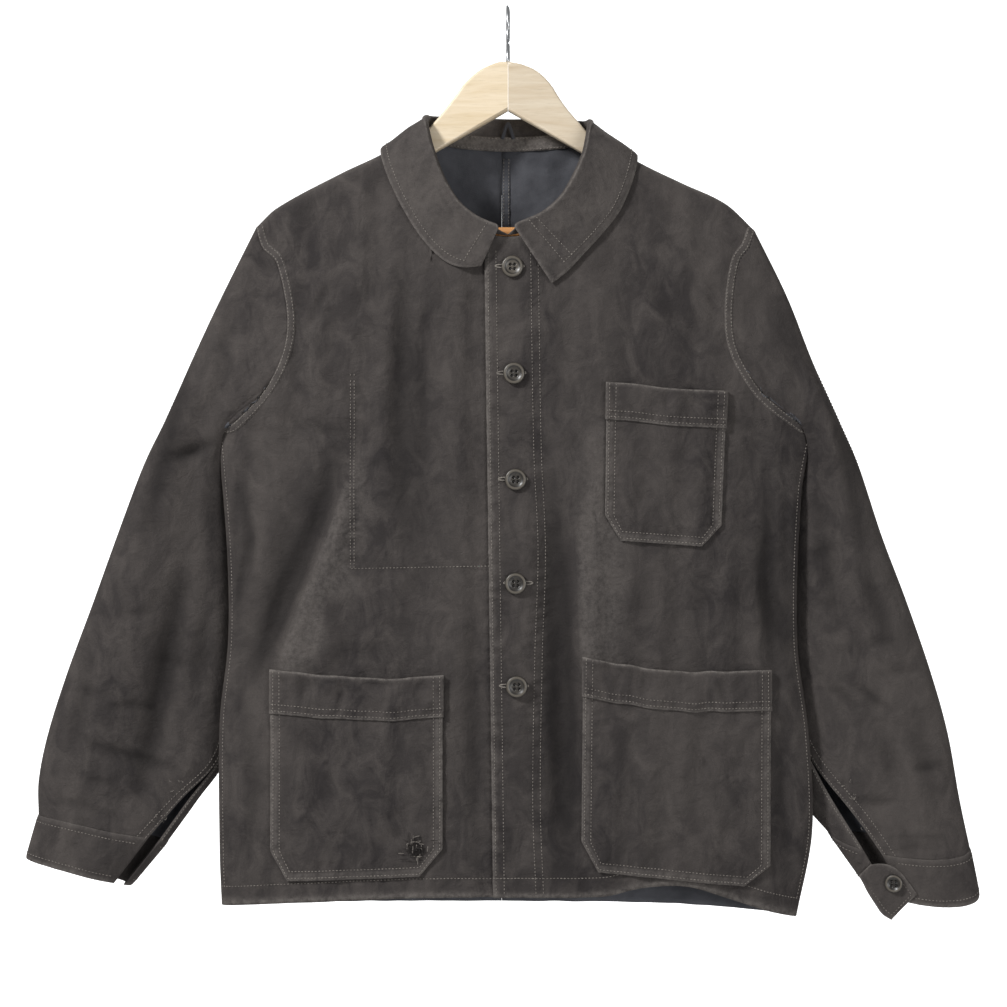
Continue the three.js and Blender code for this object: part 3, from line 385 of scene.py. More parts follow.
class Shader:
    """A material's nodes, built one after another."""

    def __init__(self, name: str) -> None:
        """Starts a material with its surface and the object's coordinates."""
        self.material = bpy.data.materials.new(name)
        self.material.use_nodes = True
        self.tree = self.material.node_tree
        self.surface = self.tree.nodes["Principled BSDF"]
        self.place = self.tree.nodes.new("ShaderNodeTexCoord").outputs["Object"]

    def link(self, source: bpy.types.NodeSocket, target: bpy.types.NodeSocket) -> None:
        """Joins two sockets."""
        self.tree.links.new(source, target)

    def stretched(self, scale: tuple[float, float, float], turn: float = 0.0) -> bpy.types.NodeSocket:
        """The object's coordinates, turned about Y and scaled along each axis."""
        node = self.tree.nodes.new("ShaderNodeMapping")
        node.inputs["Scale"].default_value = scale
        node.inputs["Rotation"].default_value = (0, turn, 0)
        self.link(self.place, node.inputs["Vector"])
        return node.outputs["Vector"]

    def noise(self, scale: float, detail: float = 3.0, rough: float = 0.55, bend: float = 0.0,
              place: bpy.types.NodeSocket | None = None) -> bpy.types.NodeSocket:
        """Cloudy noise from 0 to 1.

        Args:
            scale: Swells to a metre.
            detail: Finer layers in it.
            rough: How strong the finer layers are.
            bend: How much it is bent.
            place: Coordinates, or None for the object's.

        Returns:
            The noise's value.
        """
        node = self.tree.nodes.new("ShaderNodeTexNoise")
        node.inputs["Scale"].default_value = scale
        node.inputs["Detail"].default_value = detail
        node.inputs["Roughness"].default_value = rough
        node.inputs["Distortion"].default_value = bend
        self.link(place or self.place, node.inputs["Vector"])
        return node.outputs["Fac"]

    def ramp(self, value: bpy.types.NodeSocket, low: float, high: float, start: float = 0.0,
             end: float = 1.0) -> bpy.types.NodeSocket:
        """Spreads a value from low..high to start..end, held inside them."""
        node = self.tree.nodes.new("ShaderNodeMapRange")
        node.inputs["From Min"].default_value = low
        node.inputs["From Max"].default_value = high
        node.inputs["To Min"].default_value = start
        node.inputs["To Max"].default_value = end
        self.link(value, node.inputs["Value"])
        return node.outputs["Result"]

    def attribute(self, name: str) -> bpy.types.NodeSocket:
        """A value that the mesh carries at its points."""
        node = self.tree.nodes.new("ShaderNodeAttribute")
        node.attribute_name = name
        return node.outputs["Fac"]

    def maths(self, what: str, a: bpy.types.NodeSocket,
              b: bpy.types.NodeSocket | float) -> bpy.types.NodeSocket:
        """A sum, product or other simple reckoning of two values."""
        node = self.tree.nodes.new("ShaderNodeMath")
        node.operation = what
        self.link(a, node.inputs[0])
        if isinstance(b, (int, float)):
            node.inputs[1].default_value = b
        else:
            self.link(b, node.inputs[1])
        return node.outputs[0]

    def mix(self, share: bpy.types.NodeSocket, first: object, second: object) -> bpy.types.NodeSocket:
        """A colour between two, each a colour or a socket, by a share."""
        node = self.tree.nodes.new("ShaderNodeMix")
        node.data_type = "RGBA"
        self.link(share, node.inputs["Factor"])
        for value, socket in zip((first, second), [s for s in node.inputs if s.type == "RGBA"]):
            if isinstance(value, tuple):
                socket.default_value = value
            else:
                self.link(value, socket)
        return next(s for s in node.outputs if s.type == "RGBA")

    def raised(self, height: bpy.types.NodeSocket, deep: float,
               under: bpy.types.NodeSocket | None = None) -> bpy.types.NodeSocket:
        """Relief of a depth in metres, over another relief."""
        node = self.tree.nodes.new("ShaderNodeBump")
        node.inputs["Strength"].default_value = 1.0
        node.inputs["Distance"].default_value = deep
        self.link(height, node.inputs["Height"])
        if under is not None:
            self.link(under, node.inputs["Normal"])
        return node.outputs["Normal"]

    def dress(self, colour: bpy.types.NodeSocket, rough: float, relief: bpy.types.NodeSocket,
              **fixed: object) -> bpy.types.Material:
        """Gives the surface its colour, roughness, relief and fixed values."""
        self.link(colour, self.surface.inputs["Base Color"])
        self.link(relief, self.surface.inputs["Normal"])
        self.surface.inputs["Roughness"].default_value = rough
        for name, value in fixed.items():
            self.surface.inputs[name.replace("_", " ")].default_value = value
        return self.material


@dataclass(frozen=True)
class Moleskin:
    """Heavy brushed cotton, mottled by fading and paler where it is rubbed, with painted shade in its
    creases.
    """

    name: str = "moleskin"
    base: tuple = (67, 63, 61)
    deep: tuple = (47, 44, 44)
    faded: tuple = (84, 79, 76)
    rubbed: tuple = (113, 108, 104)
    nap: float = 0.0005
    crinkle: float = 0.0016

    def material(self) -> bpy.types.Material:
        """Builds the finish."""
        s = Shader(self.name)
        clouds = s.ramp(s.noise(9, 4, 0.6, 0.5, s.stretched((1, 1, 0.32))), 0.36, 0.64)
        mottle = s.ramp(s.noise(46, 5, 0.68, 0.8, s.stretched((1, 1, 0.6))), 0.4, 0.66)
        grain = s.noise(950, 3, 0.7)
        colour = s.mix(clouds, tone(*self.deep), tone(*self.base))
        colour = s.mix(s.maths("MULTIPLY", mottle, 0.5), colour, tone(*self.faded))
        wear = s.maths("MULTIPLY", s.attribute("wear"), s.ramp(s.noise(210, 4, 0.7), 0.34, 0.6, 0.25, 1.0))
        colour = s.mix(wear, colour, tone(*self.rubbed))
        # Painted shade: attribute values below 0, set in crease and fold troughs and on the darn's dark
        # tubes, darken the cloth.
        painted_shade = s.ramp(s.attribute("wear"), -1.0, -0.05, 0.85, 0.0)
        colour = s.mix(painted_shade, colour, tone(*[v * 0.66 for v in self.deep]))
        colour = s.mix(s.ramp(grain, 0.3, 0.62, 0.26, 0.0), colour, tone(*[v * 0.62 for v in self.deep]))
        soft = s.raised(s.noise(58, 5, 0.62, 0.9, s.stretched((1, 1, 1.5))), self.crinkle)
        soft = s.raised(s.noise(240, 3, 0.6), 0.0007, soft)
        relief = s.raised(grain, self.nap, soft)
        return s.dress(colour, 0.96, relief, Sheen_Weight=0.16, Sheen_Roughness=0.42,
                       Sheen_Tint=tone(150, 140, 132), Specular_IOR_Level=0.12)


@dataclass(frozen=True)
class Reverse:
    """Back of the moleskin: plain blue-grey twill with no nap."""

    name: str = "moleskin_inside"
    base: tuple = (88, 89, 94)
    deep: tuple = (68, 69, 74)

    def material(self) -> bpy.types.Material:
        """Builds the finish."""
        s = Shader(self.name)
        fade = s.ramp(s.noise(26, 4, 0.6), 0.35, 0.65)
        colour = s.mix(fade, tone(*self.deep), tone(*self.base))
        twill = s.tree.nodes.new("ShaderNodeTexWave")
        twill.inputs["Scale"].default_value = 320
        twill.inputs["Distortion"].default_value = 1.2
        s.link(s.stretched((1, 1, 1), math.radians(35)), twill.inputs["Vector"])
        colour = s.mix(s.ramp(twill.outputs["Fac"], 0, 1, 0.0, 0.22), colour, tone(30, 31, 34))
        relief = s.raised(twill.outputs["Fac"], 0.0003, s.raised(s.noise(70, 4, 0.6), 0.0012))
        return s.dress(colour, 0.9, relief, Sheen_Weight=0.06, Sheen_Roughness=0.5, Specular_IOR_Level=0.15)


@dataclass(frozen=True)
class Thread:
    """Matt sewing thread, paler than the cloth."""

    name: str = "thread"
    base: tuple = (98, 93, 88)
    pale: tuple = (132, 126, 119)

    def material(self) -> bpy.types.Material:
        """Builds the finish."""
        s = Shader(self.name)
        colour = s.mix(s.ramp(s.noise(120, 3), 0.35, 0.65), tone(*self.base), tone(*self.pale))
        relief = s.raised(s.noise(2600, 2), 0.0002)
        return s.dress(colour, 0.85, relief, Sheen_Weight=0.1, Specular_IOR_Level=0.2)


@dataclass(frozen=True)
class ButtonPlastic:
    """Half-gloss cast plastic with streaks, rubbed at the rim, with painted shade in its holes and on the
    rim's sides.
    """

    name: str = "button"
    base: tuple = (31, 28, 25)
    streak: tuple = (50, 45, 38)

    def material(self) -> bpy.types.Material:
        """Builds the finish."""
        s = Shader(self.name)
        streaks = s.ramp(s.noise(170, 4, 0.6, 1.5, s.stretched((1, 1, 0.4))), 0.42, 0.72)
        colour = s.mix(streaks, tone(*self.base), tone(*self.streak))
        colour = s.mix(s.ramp(s.attribute("wear"), 0.0, 1.0), colour, tone(88, 82, 73))
        # Values below 0 darken the plastic almost to black: painted shade in the holes and on the rim's
        # sides, and a darker face on the cuff button.
        colour = s.mix(s.ramp(s.attribute("wear"), -1.0, 0.0, 1.0, 0.0), colour, tone(8, 7, 7))
        relief = s.raised(s.noise(700, 3, 0.6), 0.0001)
        return s.dress(colour, 0.42, relief, Coat_Weight=0.15, Coat_Roughness=0.25)


@dataclass(frozen=True)
class Wood:
    """Varnished wood with fine grain along the piece."""

    name: str
    pale: tuple
    dark: tuple
    turn: float = 0.0

    def material(self) -> bpy.types.Material:
        """Builds the finish."""
        s = Shader(self.name)
        run = s.stretched((7, 60, 90), self.turn)
        grain = s.noise(1.6, 5, 0.62, 0.7, run)
        pores = s.noise(9, 3, 0.7, 0.2, run)
        colour = s.mix(s.ramp(grain, 0.3, 0.7), tone(*self.pale), tone(*self.dark))
        colour = s.mix(s.ramp(pores, 0.55, 0.75, 0.0, 0.35), colour, tone(*[v * 0.8 for v in self.dark]))
        relief = s.raised(pores, 0.00012, s.raised(grain, 0.0003))
        return s.dress(colour, 0.45, relief, Coat_Weight=0.25, Coat_Roughness=0.25)


@dataclass(frozen=True)
class Wire:
    """Bright drawn steel."""

    name: str = "hook_steel"

    def material(self) -> bpy.types.Material:
        """Builds the finish."""
        s = Shader(self.name)
        streaks = s.noise(900, 3, 0.6, 0.0, s.stretched((1, 1, 0.08)))
        colour = s.mix(streaks, tone(168, 171, 174), tone(206, 208, 210))
        return s.dress(colour, 0.26, s.raised(streaks, 0.00008), Metallic=1.0)


@dataclass
class Finishes:
    """All the object's finishes, made once."""

    moleskin: bpy.types.Material = field(default_factory=lambda: Moleskin().material())
    reverse: bpy.types.Material = field(default_factory=lambda: Reverse().material())
    thread: bpy.types.Material = field(default_factory=lambda: Thread().material())
    button: bpy.types.Material = field(default_factory=lambda: ButtonPlastic().material())
    steel: bpy.types.Material = field(default_factory=lambda: Wire().material())
    bar: bpy.types.Material = field(
        default_factory=lambda: Wood("bar_wood", (206, 150, 92), (176, 116, 64)).material())
    boards: dict = field(default_factory=lambda: {
        Side.RIGHT: Wood("hanger_wood_right", (217, 202, 177), (201, 182, 150), math.radians(34)).material(),
        Side.LEFT: Wood("hanger_wood_left", (203, 191, 171), (186, 169, 144), math.radians(-34)).material(),
    })


# ---------------------------------------------------------------- stitching


class Stitching:
    """Rows of stitches, laid along paths by one tree of geometry nodes."""

    def __init__(self, finishes: Finishes) -> None:
        """Starts with no rows."""
        self.finishes = finishes
        self.rows: list[Array] = []

    def row(self, points: Array) -> None:
        """Adds a row along points in the tables' millimetres."""
        points = np.asarray(points, float)
        if len(points) > 1:
            self.rows.append(points)

    def tree(self) -> tuple[bpy.types.NodeTree, dict[str, str]]:
        """Builds the tree that sets a stitch at every pitch of a row.

        Returns:
            The tree, and the identifier of each named input.
        """
        tree = bpy.data.node_groups.new("stitch_rows", "GeometryNodeTree")
        names = {}
        tree.interface.new_socket("Rows", in_out="INPUT", socket_type="NodeSocketGeometry")
        for name, kind in (("Pitch", "Float"), ("Length", "Float"), ("Thickness", "Float"),
                           ("Unevenness", "Float"), ("Seed", "Int"), ("Thread", "Material")):
            made = tree.interface.new_socket(name, in_out="INPUT", socket_type=f"NodeSocket{kind}")
            names[name] = made.identifier
        tree.interface.new_socket("Stitches", in_out="OUTPUT", socket_type="NodeSocketGeometry")
        new, link = tree.nodes.new, tree.links.new
        given, result = new("NodeGroupInput"), new("NodeGroupOutput")
        curves = new("GeometryNodeMeshToCurve")
        spots = new("GeometryNodeCurveToPoints")
        spots.mode = "LENGTH"
        stitch = new("GeometryNodeMeshUVSphere")
        stitch.inputs["Segments"].default_value = 5
        stitch.inputs["Rings"].default_value = 4
        stitch.inputs["Radius"].default_value = 0.5
        aim = new("FunctionNodeAlignRotationToVector")
        aim.axis = "X"
        vary = new("FunctionNodeRandomValue")
        vary.data_type = "FLOAT"
        low, high = [s for s in vary.inputs if s.type == "VALUE" and s.name in ("Min", "Max") and s.enabled]
        high.default_value = 1.0
        under = new("ShaderNodeMath")
        under.operation = "SUBTRACT"
        under.inputs[0].default_value = 1.0
        sized = new("ShaderNodeMath")
        sized.operation = "MULTIPLY"
        scale = new("ShaderNodeCombineXYZ")
        copies = new("GeometryNodeInstanceOnPoints")
        real = new("GeometryNodeRealizeInstances")
        dressed = new("GeometryNodeSetMaterial")
        link(given.outputs["Rows"], curves.inputs["Mesh"])
        link(curves.outputs["Curve"], spots.inputs["Curve"])
        link(given.outputs["Pitch"], spots.inputs["Length"])
        link(spots.outputs["Tangent"], aim.inputs["Vector"])
        link(given.outputs["Unevenness"], under.inputs[1])
        link(under.outputs[0], low)
        link(given.outputs["Seed"], vary.inputs["Seed"])
        link(given.outputs["Length"], sized.inputs[0])
        link(next(s for s in vary.outputs if s.enabled), sized.inputs[1])
        link(sized.outputs[0], scale.inputs["X"])
        link(given.outputs["Thickness"], scale.inputs["Y"])
        link(given.outputs["Thickness"], scale.inputs["Z"])
        link(spots.outputs["Points"], copies.inputs["Points"])
        link(stitch.outputs["Mesh"], copies.inputs["Instance"])
        link(aim.outputs["Rotation"], copies.inputs["Rotation"])
        link(scale.outputs["Vector"], copies.inputs["Scale"])
        link(copies.outputs["Instances"], real.inputs["Geometry"])
        link(real.outputs["Geometry"], dressed.inputs["Geometry"])
        link(given.outputs["Thread"], dressed.inputs["Material"])
        link(dressed.outputs["Geometry"], result.inputs["Stitches"])
        return tree, names

    def build(self, name: str, pitch: float, length: float, thick: float) -> bpy.types.Object:
        """Sews the rows added so far and empties the list.

        Args:
            name: Name of the piece.
            pitch: Distance from stitch to stitch, in millimetres.
            length: Length of a stitch.
            thick: Thickness of the thread.

        Returns:
            The stitches, as one piece.
        """
        points = np.concatenate(self.rows)
        edges, start = [], 0
        for row in self.rows:
            edges.extend([(start + k, start + k + 1) for k in range(len(row) - 1)])
            start += len(row)
        self.rows = []
        mesh = bpy.data.meshes.new(f"{name}_rows")
        mesh.from_pydata(metres(points).tolist(), edges, [])
        carrier = bpy.data.objects.new(f"{name}_rows", mesh)
        bpy.context.scene.collection.objects.link(carrier)
        modifier = carrier.modifiers.new("stitches", "NODES")
        tree, names = self.tree()
        modifier.node_group = tree
        for key, value in (("Pitch", pitch / 1000), ("Length", length / 1000), ("Thickness", thick / 1000),
                           ("Unevenness", 0.3), ("Seed", 7), ("Thread", self.finishes.thread)):
            modifier[names[key]] = value
        seen = carrier.evaluated_get(bpy.context.evaluated_depsgraph_get())
        made = bpy.data.objects.new(name, bpy.data.meshes.new_from_object(seen))
        made.data.name = name
        bpy.context.scene.collection.objects.link(made)
        carrier.modifiers.clear()
        bpy.data.objects.remove(carrier)
        made.data.polygons.foreach_set("use_smooth", [True] * len(made.data.polygons))
        return made


def place_piece(made: bpy.types.Object, nodes: tuple[str, ...] = ()) -> bpy.types.Object:
    """Fixes a piece to the body, for the nodes it stands for.

    Args:
        made: The piece.
        nodes: CAD nodes that it replaces.

    Returns:
        The piece.
    """
    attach(made, "root")
    if nodes:
        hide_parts(*nodes)
    log.info("%s: %d faces", made.name, len(made.data.polygons))
    return made


# ---------------------------------------------------------------- body


@dataclass
class BodyForm:
    """Hollow form of the jacket's body, as it hangs over the hanger."""

    shoulder_round: float = 12.5
    fall: float = 110.0
    power: float = 2.4
    reach: float = 44.0
    flare: float = 3.0
    chest: dict = field(default_factory=lambda: {Face.FRONT: 36.0, Face.BACK: 31.0})
    neck_room: dict = field(default_factory=lambda: {Face.FRONT: 5.0, Face.BACK: 13.0})
    sides: dict = field(default_factory=lambda: {
        Side.RIGHT: np.array([(-800, -272), (-749, -274), (-627, -274), (-549, -266), (-464, -267),
                              (-351, -276)],
                             float),
        Side.LEFT: np.array([(-811, 274), (-731, 289), (-639, 286), (-549, 275), (-410, 279),
                             (-350, 290)], float),
    })
    shoulders: dict = field(default_factory=lambda: {
        Side.RIGHT: np.array([(0, -30), (84, -66), (121, -88), (159, -106), (220, -139), (239, -157)], float),
        Side.LEFT: np.array([(0, -30), (84, -70), (124, -95), (165, -115), (207, -135), (234, -160)], float),
    })
    armholes: dict = field(default_factory=lambda: {
        Side.RIGHT: np.array([(-276, -351), (-256, -341), (-227, -310), (-211, -276), (-208, -240),
                              (-218, -194),
                              (-232, -178), (-239, -157)], float),
        Side.LEFT: np.array([(290, -350), (274, -342), (240, -316), (216, -277), (211, -240), (217, -194),
                             (227, -178), (234, -160)], float),
    })
    folds: dict = field(default_factory=lambda: {
        Face.FRONT: np.array([(-168, -340, -262, -640, 5, 20), (-128, -380, -225, -640, -3, 22),
                              (42, -420, 56, -800, 6, 16), (88, -330, 80, -600, -3, 24),
                              (232, -420, 268, -600, 4, 16), (-92, -190, -88, -560, 3.5, 18)], float),
        Face.BACK: np.array([(-60, -220, -96, -800, 5, 22), (70, -260, 104, -800, 5, 22),
                             (-180, -330, -230, -700, 5, 20), (180, -340, 226, -700, 5, 20)], float),
    })
    creases: dict = field(default_factory=lambda: {
        Face.FRONT: (
            Crease(((-164, -205), (-176, -229), (-190, -259)), 1.5, 3.4),
            Crease(((-152, -351), (-177, -435), (-208, -509), (-241, -593)), 4.0, 9),
            Crease(((-133, -360), (-155, -435), (-185, -509), (-217, -584)), -2.4, 9),
            Crease(((-241, -360), (-250, -407), (-243, -453), (-254, -509), (-258, -547)), 2.6, 5),
            Crease(((-252, -369), (-259, -435), (-254, -500)), 1.8, 4),
            Crease(((-93, -178), (-99, -257), (-103, -351), (-97, -467)), 2.0, 8),
            Crease(((-75, -192), (-78, -276), (-82, -388)), 1.2, 6),
            Crease(((41, -351), (47, -472), (51, -603), (54, -696), (60, -776)), 3.2, 11),
            Crease(((76, -435), (80, -603), (84, -771)), -2.2, 12),
            Crease(((241, -360), (246, -435), (243, -509), (254, -603)), 2.6, 7),
            Crease(((239, -489), (254, -521), (269, -561)), 2.6, 6),
            Crease(((263, -388), (264, -472), (270, -547)), 1.8, 5),
            Crease(((-194, -229), (-200, -267), (-198, -309)), 1.2, 5),
            Crease(((190, -194), (194, -229), (190, -271)), 1.2, 5),
            Crease(((-97, -194), (-138, -229), (-161, -271)), 1.0, 7),
            Crease(((116, -194), (146, -229), (170, -276)), 1.0, 7),
            Crease(((-36, -472), (-30, -603), (-36, -771)), 1.6, 9),
            Crease(((123, -472), (129, -509), (126, -556)), 1.3, 8),
            Crease(((170, -463), (179, -509), (174, -556)), 1.2, 9),
            Crease(((-194, -472), (-166, -519), (-148, -565)), 1.2, 10),
            Crease(((-214, -330), (-170, -352), (-120, -346)), 1.0, 6),
            Crease(((150, -300), (196, -336), (240, -350)), 1.2, 6),
            Crease(((-20, -640), (4, -648), (24, -642)), 0.9, 4),
            Crease(((-196, -596), (-150, -560), (-96, -552)), 1.3, 9),
            Crease(((-250, -600), (-238, -690), (-250, -780)), 2.0, 7),
            Crease(((262, -610), (258, -690), (268, -780)), 2.0, 7),
            Pucker(((-146, -299), (-146, -480)), 1.9, 8, 10.5, 61),
            Pucker(((-146, -479), (-17, -479)), 1.1, 6, 11.5, 62),
            Pucker(((-17, -200), (-12, -480), (-9, -780)), 1.5, 12, 13.0, 63),
            Pucker(((24, -200), (31, -450), (25, -780)), 1.5, 10, 12.0, 64),
            Pucker(((-268, -783), (0, -772), (268, -792)), 0.8, 8, 14.0, 65),
            Pucker(((-244, -165), (-216, -240), (-218, -276), (-236, -312), (-266, -338)), 0.8, 9, 12.0, 68),
            Pucker(((240, -168), (219, -240), (224, -278), (250, -318), (280, -342)), 0.8, 9, 12.0, 69),
        ),
        Face.BACK: (
            Crease(((-150, -190), (-168, -260), (-196, -320)), 1.8, 7),
            Crease(((150, -195), (170, -262), (200, -322)), 1.8, 7),
            Crease(((-196, -380), (-214, -460), (-246, -560)), 3.2, 9),
            Crease(((200, -380), (218, -470), (250, -570)), 3.0, 9),
            Crease(((-120, -170), (-70, -176), (-20, -170)), 1.2, 6),
            Crease(((24, -168), (76, -176), (128, -172)), 1.2, 6),
            Crease(((-44, -300), (-38, -470), (-50, -640)), 2.0, 9),
            Crease(((38, -330), (52, -500), (44, -700)), 2.2, 9),
            Crease(((-140, -420), (-150, -560), (-140, -760)), 2.0, 11),
            Crease(((146, -440), (150, -600), (160, -770)), 2.0, 11),
            Crease(((-244, -420), (-252, -500), (-246, -600)), 1.8, 5),
            Crease(((246, -430), (256, -520), (250, -610)), 1.8, 5),
            Pucker(((-1, -100), (-1, -450), (-1, -790)), 0.8, 8, 12.0, 66),
            Pucker(((-268, -785), (0, -786), (268, -792)), 0.6, 8, 14.0, 67),
        ),
    })

    def shoulder_line(self, x: Array) -> Array:
        """Height of the top of the shoulders."""
        right = read_row(self.shoulders[Side.RIGHT], np.abs(x))[..., 1]
        left = read_row(self.shoulders[Side.LEFT], np.abs(x))[..., 1]
        return np.where(x < 0, right, left)

    def side_reach(self, x: Array, z: Array) -> Array:
        """Half width of the body's section at each height."""
        reach = []
        for side in (Side.RIGHT, Side.LEFT):
            rows = self.sides[side]
            above = np.maximum(z - rows[-1, 0], 0)
            edge = np.abs(read_row(rows, np.minimum(z, rows[-1, 0]))[..., 1])
            reach.append(edge + self.reach * (1 - np.exp(-above / 25)))
        return np.where(x < 0, reach[0], reach[1])

    def fold_depth(self, x: Array, z: Array, face: Face) -> Array:
        """Depth of the large soft folds."""
        total = np.zeros(x.shape)
        for from_x, from_z, to_x, to_z, deep, wide in self.folds[face]:
            run_x, run_z = to_x - from_x, to_z - from_z
            long = math.hypot(run_x, run_z)
            run = ((x - from_x) * run_x + (z - from_z) * run_z) / long**2
            off = ((x - from_x) * run_z - (z - from_z) * run_x) / long
            inside = (run > 0) & (run < 1)
            fold = deep * np.sin(math.pi * np.clip(run, 0, 1)) * np.exp(-((off / wide) ** 2))
            total += np.where(inside, fold, 0)
        return total

    def plain_depth(self, x: Array, z: Array, face: Face) -> Array:
        """Depth of the outer surface without its fine creases."""
        x, z = np.broadcast_arrays(np.asarray(x, float), np.asarray(z, float))
        u = np.clip(np.abs(x) / self.side_reach(x, z), 0, 1)
        rounded = np.sqrt(np.maximum(1 - u**self.power, 0))
        below = np.maximum(self.shoulder_line(x) - z, 0)
        radius = self.shoulder_round
        over = radius * np.sqrt(1 - (1 - np.minimum(below / radius, 1)) ** 2)
        fall = 1 - np.exp(-((below / self.fall) ** 1.5))
        flare = self.flare * np.clip((-350 - z) / 450, 0, 1) ** 2
        around = np.exp(-((x / 90) ** 2) - ((z + 95) / 75) ** 2)
        neck = self.neck_room[face] * around * np.minimum(below / 20, 1)
        full = over + (self.chest[face] - radius) * fall + flare + neck
        return full * rounded - self.fold_depth(x, z, face) * np.minimum(full / self.chest[face], 1) * rounded

    def depth(self, x: Array, z: Array, face: Face) -> Array:
        """Depth of the outer surface from the plane of the side seams."""
        x, z = np.broadcast_arrays(np.asarray(x, float), np.asarray(z, float))
        plain = self.plain_depth(x, z, face)
        fine = sunk(self.creases[face], x, z) + 1.0 * uneven(x * 1.5, z * 0.6, 60, 11 + face)
        fine = fine + 0.35 * uneven(x, z, 24, 5)
        return plain - fine * smooth(plain, 4, 16)

    def place(self, x: Array, z: Array, face: Face, out: float = 0.0) -> Array:
        """Points on the outside of the body, moved out by a distance."""
        x, z = np.broadcast_arrays(np.asarray(x, float), np.asarray(z, float))
        return np.stack([x, face * (self.depth(x, z, face) + out), z], -1)


@dataclass
class Panel:
    """One of the four panels of the body, as a blend of its four edges."""

    form: BodyForm
    side: Side
    face: Face
    side_share: float = 0.5
    neck_share: float = 0.38
    neck_wide: float = 84.0
    neck_top: dict = field(default_factory=lambda: {Side.RIGHT: -66.0, Side.LEFT: -70.0})
    neck_drop: dict = field(default_factory=lambda: {Face.FRONT: -170.0, Face.BACK: -79.0})
    lap_top: tuple = (-22.0, -175.0)
    lap_end: tuple = (-14.0, -788.0)
    underlap: float = 24.0
    back_seam: float = -6.0
    hems: dict = field(default_factory=lambda: {
        Face.FRONT: np.array([(-272, -800), (-230, -796), (-140, -790), (-70, -787), (40, -787), (90, -786),
                              (128, -778), (170, -778), (207, -790), (245, -803), (274, -811)], float),
        Face.BACK: np.array([(-272, -800), (-180, -802), (0, -803), (150, -804), (230, -808),
                             (274, -811)], float),
    })

    def lap_edge(self, z: Array) -> Array:
        """Place of the left front's edge at a height."""
        (top_x, top_z), (end_x, end_z) = self.lap_top, self.lap_end
        return lerp(top_x, end_x, (z - top_z) / (end_z - top_z))

    def centre(self, z: Array) -> Array:
        """Place of the panel's centre edge at a height."""
        if self.face is Face.BACK:
            return np.zeros(np.shape(z)) + self.back_seam + self.side * SEAM / 2
        return self.lap_edge(z) if self.side is Side.LEFT else np.zeros(np.shape(z)) + self.underlap

    def step(self, x: Array, z: Array) -> Array:
        """How far the right front lies behind the left."""
        if self.face is Face.BACK or self.side is Side.LEFT:
            return np.zeros(np.shape(x))
        edge = self.lap_edge(z)
        t = np.clip((x - edge + 25) / 16, 0, 1)
        return (CLOTH + 1.2) * t * t * (3 - 2 * t)

    def neckline(self, turn: Array) -> Array:
        """Points of the neckline, turning from the centre to the shoulder."""
        top, drop = self.neck_top[self.side], self.neck_drop[self.face]
        return np.stack([self.side * self.neck_wide * np.sin(turn), top + (drop - top) * np.cos(turn)], -1)

    def top(self, u: Array) -> Array:
        """Top edge: the neckline, then the shoulder."""
        middle = float(self.centre(np.array(self.neck_drop[self.face])))
        start = math.asin(self.side * middle / self.neck_wide)
        neck = self.neckline(lerp(start, math.pi / 2, np.clip(u / self.neck_share, 0, 1)))
        tip = self.form.armholes[self.side][-1]
        share = np.clip((u - self.neck_share) / (1 - self.neck_share), 0, 1)
        x = lerp(self.side * self.neck_wide, tip[0], share)
        shoulder = np.stack([x, self.form.shoulder_line(x)], -1)
        return np.where((u <= self.neck_share)[..., None], neck, shoulder)

    def hem(self, u: Array) -> Array:
        """Lower edge."""
        corner = self.form.sides[self.side][0][1]
        x = lerp(float(self.centre(np.array(self.lap_end[1]))), corner, u)
        return np.stack([x, read_row(self.hems[self.face], x)[..., 1]], -1)

    def outer_side(self, v: Array) -> Array:
        """Side seam up to the underarm, then the armhole."""
        rows = self.form.sides[self.side]
        z = lerp(rows[0, 0], rows[-1, 0], np.clip(v / self.side_share, 0, 1))
        seam = np.stack([read_row(rows, z)[..., 1], z], -1)
        share = np.clip((v - self.side_share) / (1 - self.side_share), 0, 1)
        return np.where((v >= self.side_share)[..., None],
                        along_rows(self.form.armholes[self.side], share), seam)

    def middle(self, v: Array) -> Array:
        """Centre edge."""
        low, high = self.hem(np.zeros(1))[0], self.top(np.zeros(1))[0]
        z = lerp(low[1], high[1], v)
        return np.stack([lerp(self.centre(z), high[0], v**8), z], -1)

    def seen(self, u: Array, v: Array) -> Array:
        """Places of points seen from the front, blended from the edges."""
        u, v = np.broadcast_arrays(np.asarray(u, float), np.asarray(v, float))
        corners = [self.hem(np.zeros(1))[0], self.hem(np.ones(1))[0], self.top(np.zeros(1))[0],
                   self.top(np.ones(1))[0]]
        a, b = u[..., None], v[..., None]
        low = lerp(corners[0], corners[1], a)
        high = lerp(corners[2], corners[3], a)
        edges = lerp(self.hem(u), self.top(u), b) + lerp(self.middle(v), self.outer_side(v), a)
        return edges - lerp(low, high, b)

    def points(self, u: Array, v: Array, out: float = 0.0) -> Array:
        """Points on the panel's outside, moved out by a distance."""
        at = self.seen(u, v)
        x, z = at[..., 0], at[..., 1]
        deep = np.maximum(self.form.depth(x, z, self.face) - self.step(x, z), SEAM / 2) + out
        return np.stack([x, self.face * deep, z], -1)


